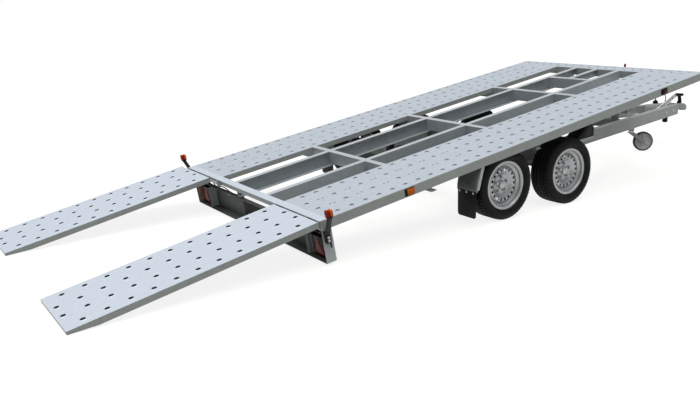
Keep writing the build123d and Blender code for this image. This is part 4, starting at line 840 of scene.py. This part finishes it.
piece("underside_boot", boot, BLACK_RUBBER, "chassis",
      CHASSIS @ at(3.070, 0, 0.222) @ UPRIGHT)
bolted("drawbar_bolts", [((x, side * member_y(x), 0.364), (sin(BEND), side * cos(BEND), 0))
                         for side in SIDES.values() for x in (2.840, 3.020)],
       "chassis", CHASSIS, 0.019, 0.010)

# Ball coupling: a pressed shell that tapers to its nose, over a socket that is open below

BALL_X = 3.367


def coupling_shell():
    """The shell, through rings at its sections."""
    made = bmesh.new()
    # Columns: place along the drawbar, half width, underside, top
    sections = [(3.222, 0.036, 0.346, 0.402), (3.290, 0.036, 0.346, 0.405), (3.325, 0.042, 0.336, 0.404),
                (BALL_X, 0.045, 0.328, 0.398), (3.398, 0.036, 0.328, 0.382), (3.414, 0.020, 0.330, 0.362)]
    rings = []
    for x, half, low, high in sections:
        soft = 0.25 * (high - low)
        outline = [(-half, low), (-half, high - soft), (-0.7 * half, high), (0.7 * half, high),
                   (half, high - soft), (half, low)]
        rings.append([made.verts.new((x, y, z)) for y, z in outline])
    for one, two in zip(rings, rings[1:]):
        for i in range(6):
            j = (i + 1) % 6
            made.faces.new((one[i], one[j], two[j], two[i]))
    made.faces.new(rings[0])
    made.faces.new(rings[-1])
    bmesh.ops.recalc_face_normals(made, faces=made.faces)
    bmesh.ops.bevel(made, geom=made.edges[:], offset=0.003, segments=2, affect="EDGES", clamp_overlap=True)
    return made


socket = lathe([(0.0255, 0.0), (0.033, 0.0), (0.0345, 0.004), (0.0345, 0.012), (0.0255, 0.012)], 32)
piece("pressed_coupling", joined(coupling_shell(), (socket, at(BALL_X, 0, 0.3255) @ UPRIGHT)),
      ZINC_RAIL, "chassis", CHASSIS, ["coupling_head"])

# Coupling handle, handbrake lever, lead's plug

handle = [(BALL_X + x, 0.405 + z) for x, z in (
    (-0.087, 0), (-0.032, 0), (-0.037, 0.035), (-0.049, 0.075), (-0.077, 0.107), (-0.132, 0.113),
    (-0.135, 0.100), (-0.092, 0.091), (-0.075, 0.065), (-0.067, 0.035))]
piece("release_handle", prism(handle, -0.014, 0.014, 0.003), BLACK_PLASTIC, "chassis",
      CHASSIS, ["coupling_handle"])
LEVER_FOOT, LEVER_HEAD, GRIP_END, LEVER_Y = (2.780, 0.362), (3.150, 0.519), (3.280, 0.503), -0.060
LEVER = CHASSIS @ towards(LEVER_FOOT, LEVER_HEAD, LEVER_Y)
lever = [block(-0.050, 0.402, 0.002, 0.005, -0.021, 0.021, 0.0005),
         block(-0.050, 0.402, -0.008, 0.005, 0.018, 0.022, 0.001),
         block(-0.050, 0.402, -0.008, 0.005, -0.022, -0.018, 0.001),
         lathe([(0.0, -0.005), (0.017, -0.005), (0.017, 0.015), (0.0, 0.015)], 24),
         lathe([(0.0, -0.010), (0.010, -0.010), (0.012, -0.008), (0.012, 0.0), (0.0, 0.0)], 12)]
lever += [block(x - 0.003, x + 0.003, -0.0065, 0.003, -0.0185, 0.0185, 0.0005)
          for x in (0.045 + 0.036 * k for k in range(9))]
piece("brake_lever", joined(*lever), ZINC_BRIGHT, "chassis", LEVER, ["handbrake_lever"])
grip = lathe([(0.0, 0.0), (0.012, 0.0), (0.015, 0.004), *ribbed(0.096, 0.015, 0.013, 8, 0.010),
              (0.015, 0.112), (0.013, 0.120), (0.008, 0.123), (0.007, 0.130), (0.0, 0.131)], 24)
piece("brake_lever_grip", grip, BLACK_PLASTIC, "chassis",
      CHASSIS @ towards(LEVER_HEAD, GRIP_END, LEVER_Y) @ ALONG_X)
plug = lathe([(0.0, 0.440), (0.023, 0.440), (0.0255, 0.443), (0.0255, 0.462), (0.021, 0.466), (0.015, 0.470),
              (0.009, 0.478), (0.0, 0.478)], 32)
rib = plain_mesh("plug_rib", block(-0.0022, 0.0022, 0.444, 0.461, 0.0245, 0.0268, 0.0006))
plug.from_mesh(baked(rib, ROUND_COPIES, {"Copies": 14, "Finish": BLACK_PLASTIC}))
piece("lead_plug", plug, BLACK_PLASTIC, "chassis",
      CHASSIS @ at(2.915, 0.025, 0) @ UPRIGHT, ["trailer_plug"])

# Jockey wheel: crank, tyre and spoked rim

JOCKEY = CHASSIS @ at(2.425, -0.050, 0)
JOCKEY_SWIVEL, JOCKEY_TRAIL, JOCKEY_R = radians(-36), 0.125, 0.100
crank = [(lathe([(0.0, 0.803), (0.009, 0.803), (0.009, 0.825), (0.0, 0.825)], 24), UPRIGHT),
         block(-0.009, 0.009, -0.009, 0.129, 0.817, 0.825, 0.003)]
piece("crank_arm", joined(*crank), ZINC_PLATED, "chassis", JOCKEY, ["jockey_crank"])
knob = lathe([(0.0, 0.0), (0.010, 0.0), (0.0125, 0.006), (0.0105, 0.030), (0.012, 0.055), (0.0095, 0.067),
              (0.004, 0.070), (0.0, 0.070)], 24)
piece("crank_knob", knob, RED_GRIP, "chassis", JOCKEY @ at(0, 0.120, 0.825) @ UPRIGHT)
WHEEL_PLACE = JOCKEY @ about("Z", JOCKEY_SWIVEL) @ at(JOCKEY_TRAIL, 0, JOCKEY_R)
SMALL_TYRE = [(0.0838, 0.0212), (0.087, 0.024), (0.0915, 0.0245), (0.0955, 0.0228), (0.0985, 0.018),
              (JOCKEY_R, 0.010), (JOCKEY_R, 0.0)]
piece("jockey_tyre_round", lathe(mirrored(SMALL_TYRE), 56), GREY_RUBBER, "jockey_wheel",
      WHEEL_PLACE, ["jockey_tyre"])
barrel = lathe(mirrored([(0.084, 0.021), (0.0815, 0.0225), (0.077, 0.0205), (0.0755, 0.006)]), 56)
spoke = plain_mesh("spoke", block(-0.010, 0.010, -0.008, 0.008, 0.0165, 0.0775, 0.0025))
barrel.from_mesh(baked(spoke, ROUND_COPIES, {"Copies": 6, "Finish": GREY_NYLON}))
web = lathe([(0.019, -0.003), (0.019, 0.003), (0.0765, 0.003), (0.0765, -0.003)], 40)
hub = lathe(mirrored([(0.0087, 0.0235), (0.018, 0.0235), (0.020, 0.0215)]), 32)
piece("jockey_spoked_rim", joined(barrel, hub, web), GREY_NYLON, "jockey_wheel", WHEEL_PLACE,
      ["jockey_rim"])

# Wheel chocks in their trays, on the bent part of the side members

CHOCK_X = 0.8875
for name, side in SIDES.items():
    place = CHASSIS @ at(CHOCK_X, side * member_y(CHOCK_X), 0) @ about("Z", -side * BEND)
    front, low = 0.1465, 0.3953
    outline = [(front - 0.300, low), (front, low), (front, low + 0.108), (front - 0.040, low + 0.131),
               (front - 0.090, low + 0.131), (front - 0.300, low + 0.028)]
    wedge = [prism(outline, side * 0.002, side * 0.112, 0.004)]
    for k in range(6):
        run, rise = front - 0.285 + 0.034 * k, low + 0.0354 + 0.01668 * k
        wedge.append(prism([(run - 0.006, rise - 0.009), (run + 0.006, rise - 0.0031),
                            (run + 0.005, rise + 0.0065), (run - 0.005, rise + 0.0015)],
                           side * 0.006, side * 0.108, 0.001))
    piece(f"ribbed_chock_{name}", joined(*wedge), BLACK_PLASTIC, "chassis", place,
          ["wheel_chocks"] if side > 0 else [])

# Brake rod, its cables and the pivots' nuts

BRAKE_Z = 0.324
rods = [wire([(x, 0.0, BRAKE_Z) for x in (0.10, 1.2, 2.765)], 0.005),
        block(0.060, 0.100, -0.070, 0.070, BRAKE_Z - 0.004, BRAKE_Z + 0.004, 0.002)]
piece("brake_rod", joined(*rods), ZINC_PLATED, "chassis", CHASSIS)
cables = [wire([(0.062, side * 0.050, BRAKE_Z), (-0.02, side * 0.080, 0.326), (-0.10, side * 0.300, 0.322),
                (axle_x - 0.08, side * 0.560, 0.300), (axle_x - 0.07, side * 0.800, 0.250),
                (axle_x - 0.05, side * 0.826, 0.230)], 0.0045)
          for side in SIDES.values() for axle_x in AXLE_X.values()]
piece("brake_cables", joined(*cables), BLACK_RUBBER, "chassis", CHASSIS)
bolted("pivot_nuts", [((PIVOT[0], side * y, PIVOT[1]), (0, side * way, 0)) for side in SIDES.values()
                      for y, way in ((0.285, 1), (0.219, -1))], "chassis", CHASSIS, 0.030, 0.008)


# CAD pieces that stay get their finishes
for node, cad_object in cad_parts.items():
    for spot in cad_object.material_slots:
        usual = SLOT_MATERIALS.get(spot.material.name.split(".")[0])
        spot.material = NODE_MATERIALS.get(node, usual or ZINC_BEAM)


# Floor, light and camera

def floor():
    """A pale floor that shows white to the camera and in reflections, and still takes the shadow."""
    made = bmesh.new()
    bmesh.ops.create_grid(made, x_segments=1, y_segments=1, size=60)
    mesh = plain_mesh("floor", made)
    material, tree = begun("pale_floor")[:2]
    matt = add(tree, "ShaderNodeBsdfPrincipled", {"Base Color": linear("#85847f"), "Roughness": 0.9})
    rays = add(tree, "ShaderNodeLightPath").outputs
    seen = add(tree, "ShaderNodeMath", {0: rays["Is Camera Ray"], 1: rays["Is Glossy Ray"]},
               operation="MAXIMUM")
    seen = add(tree, "ShaderNodeMath", {0: seen, 1: rays["Is Transmission Ray"]}, operation="MAXIMUM")
    glow = add(tree, "ShaderNodeEmission", {"Color": (1, 1, 1, 1), "Strength": 0.84})
    lit = add(tree, "ShaderNodeAddShader", {0: matt, 1: glow})
    mixed = add(tree, "ShaderNodeMixShader", {0: seen, 1: matt, 2: lit})
    add(tree, "ShaderNodeOutputMaterial", {"Surface": mixed})
    mesh.materials.append(material)
    ground = placed("floor", mesh)


def studio():
    """Even sky light, white to the camera, and a sun as wide as an overcast sky's bright part."""
    world = bpy.data.worlds.new("studio")
    world.use_nodes = True
    tree = world.node_tree
    tree.nodes.clear()
    rays = add(tree, "ShaderNodeLightPath").outputs
    seen = add(tree, "ShaderNodeMath", {0: rays["Is Camera Ray"], 1: rays["Is Transmission Ray"]},
               operation="MAXIMUM")
    strength = add(tree, "ShaderNodeMapRange", {"Value": seen, "To Min": 0.32, "To Max": 1.0})
    sky = add(tree, "ShaderNodeBackground", {"Color": (1, 1, 1, 1), "Strength": strength})
    add(tree, "ShaderNodeOutputWorld", {0: sky})
    bpy.context.scene.world = world
    data = bpy.data.lights.new("overcast_sun", "SUN")
    data.energy, data.angle = 2.45, radians(70)
    placed("overcast_sun", data).rotation_euler = (radians(6), radians(-8), 0)


def camera():
    """The photograph's view, solved from the trailer's corners: a 700 by 400 frame."""
    focal_px, wide_px, sensor = 762.06, 700, 36.0
    right, down, ahead = (0.8282, -0.5594, -0.0349), (-0.1714, -0.1934, -0.966), (0.5337, 0.806, -0.256)
    data = bpy.data.cameras.new("camera")
    data.sensor_width, data.sensor_fit = sensor, "HORIZONTAL"
    data.lens = focal_px * sensor / wide_px
    data.clip_start, data.clip_end = 0.1, 200
    turn = Matrix([right, [-n for n in down], [-n for n in ahead]]).transposed()
    eye = placed("camera", data)
    eye.rotation_mode = "QUATERNION"
    eye.location = (DRAWN_X - 4.3345, -4.9301, 1.6444)
    eye.rotation_quaternion = turn.to_quaternion()
    bpy.context.scene.camera = eye


floor()
studio()
camera()
bpy.context.scene.view_settings.view_transform = "Standard"
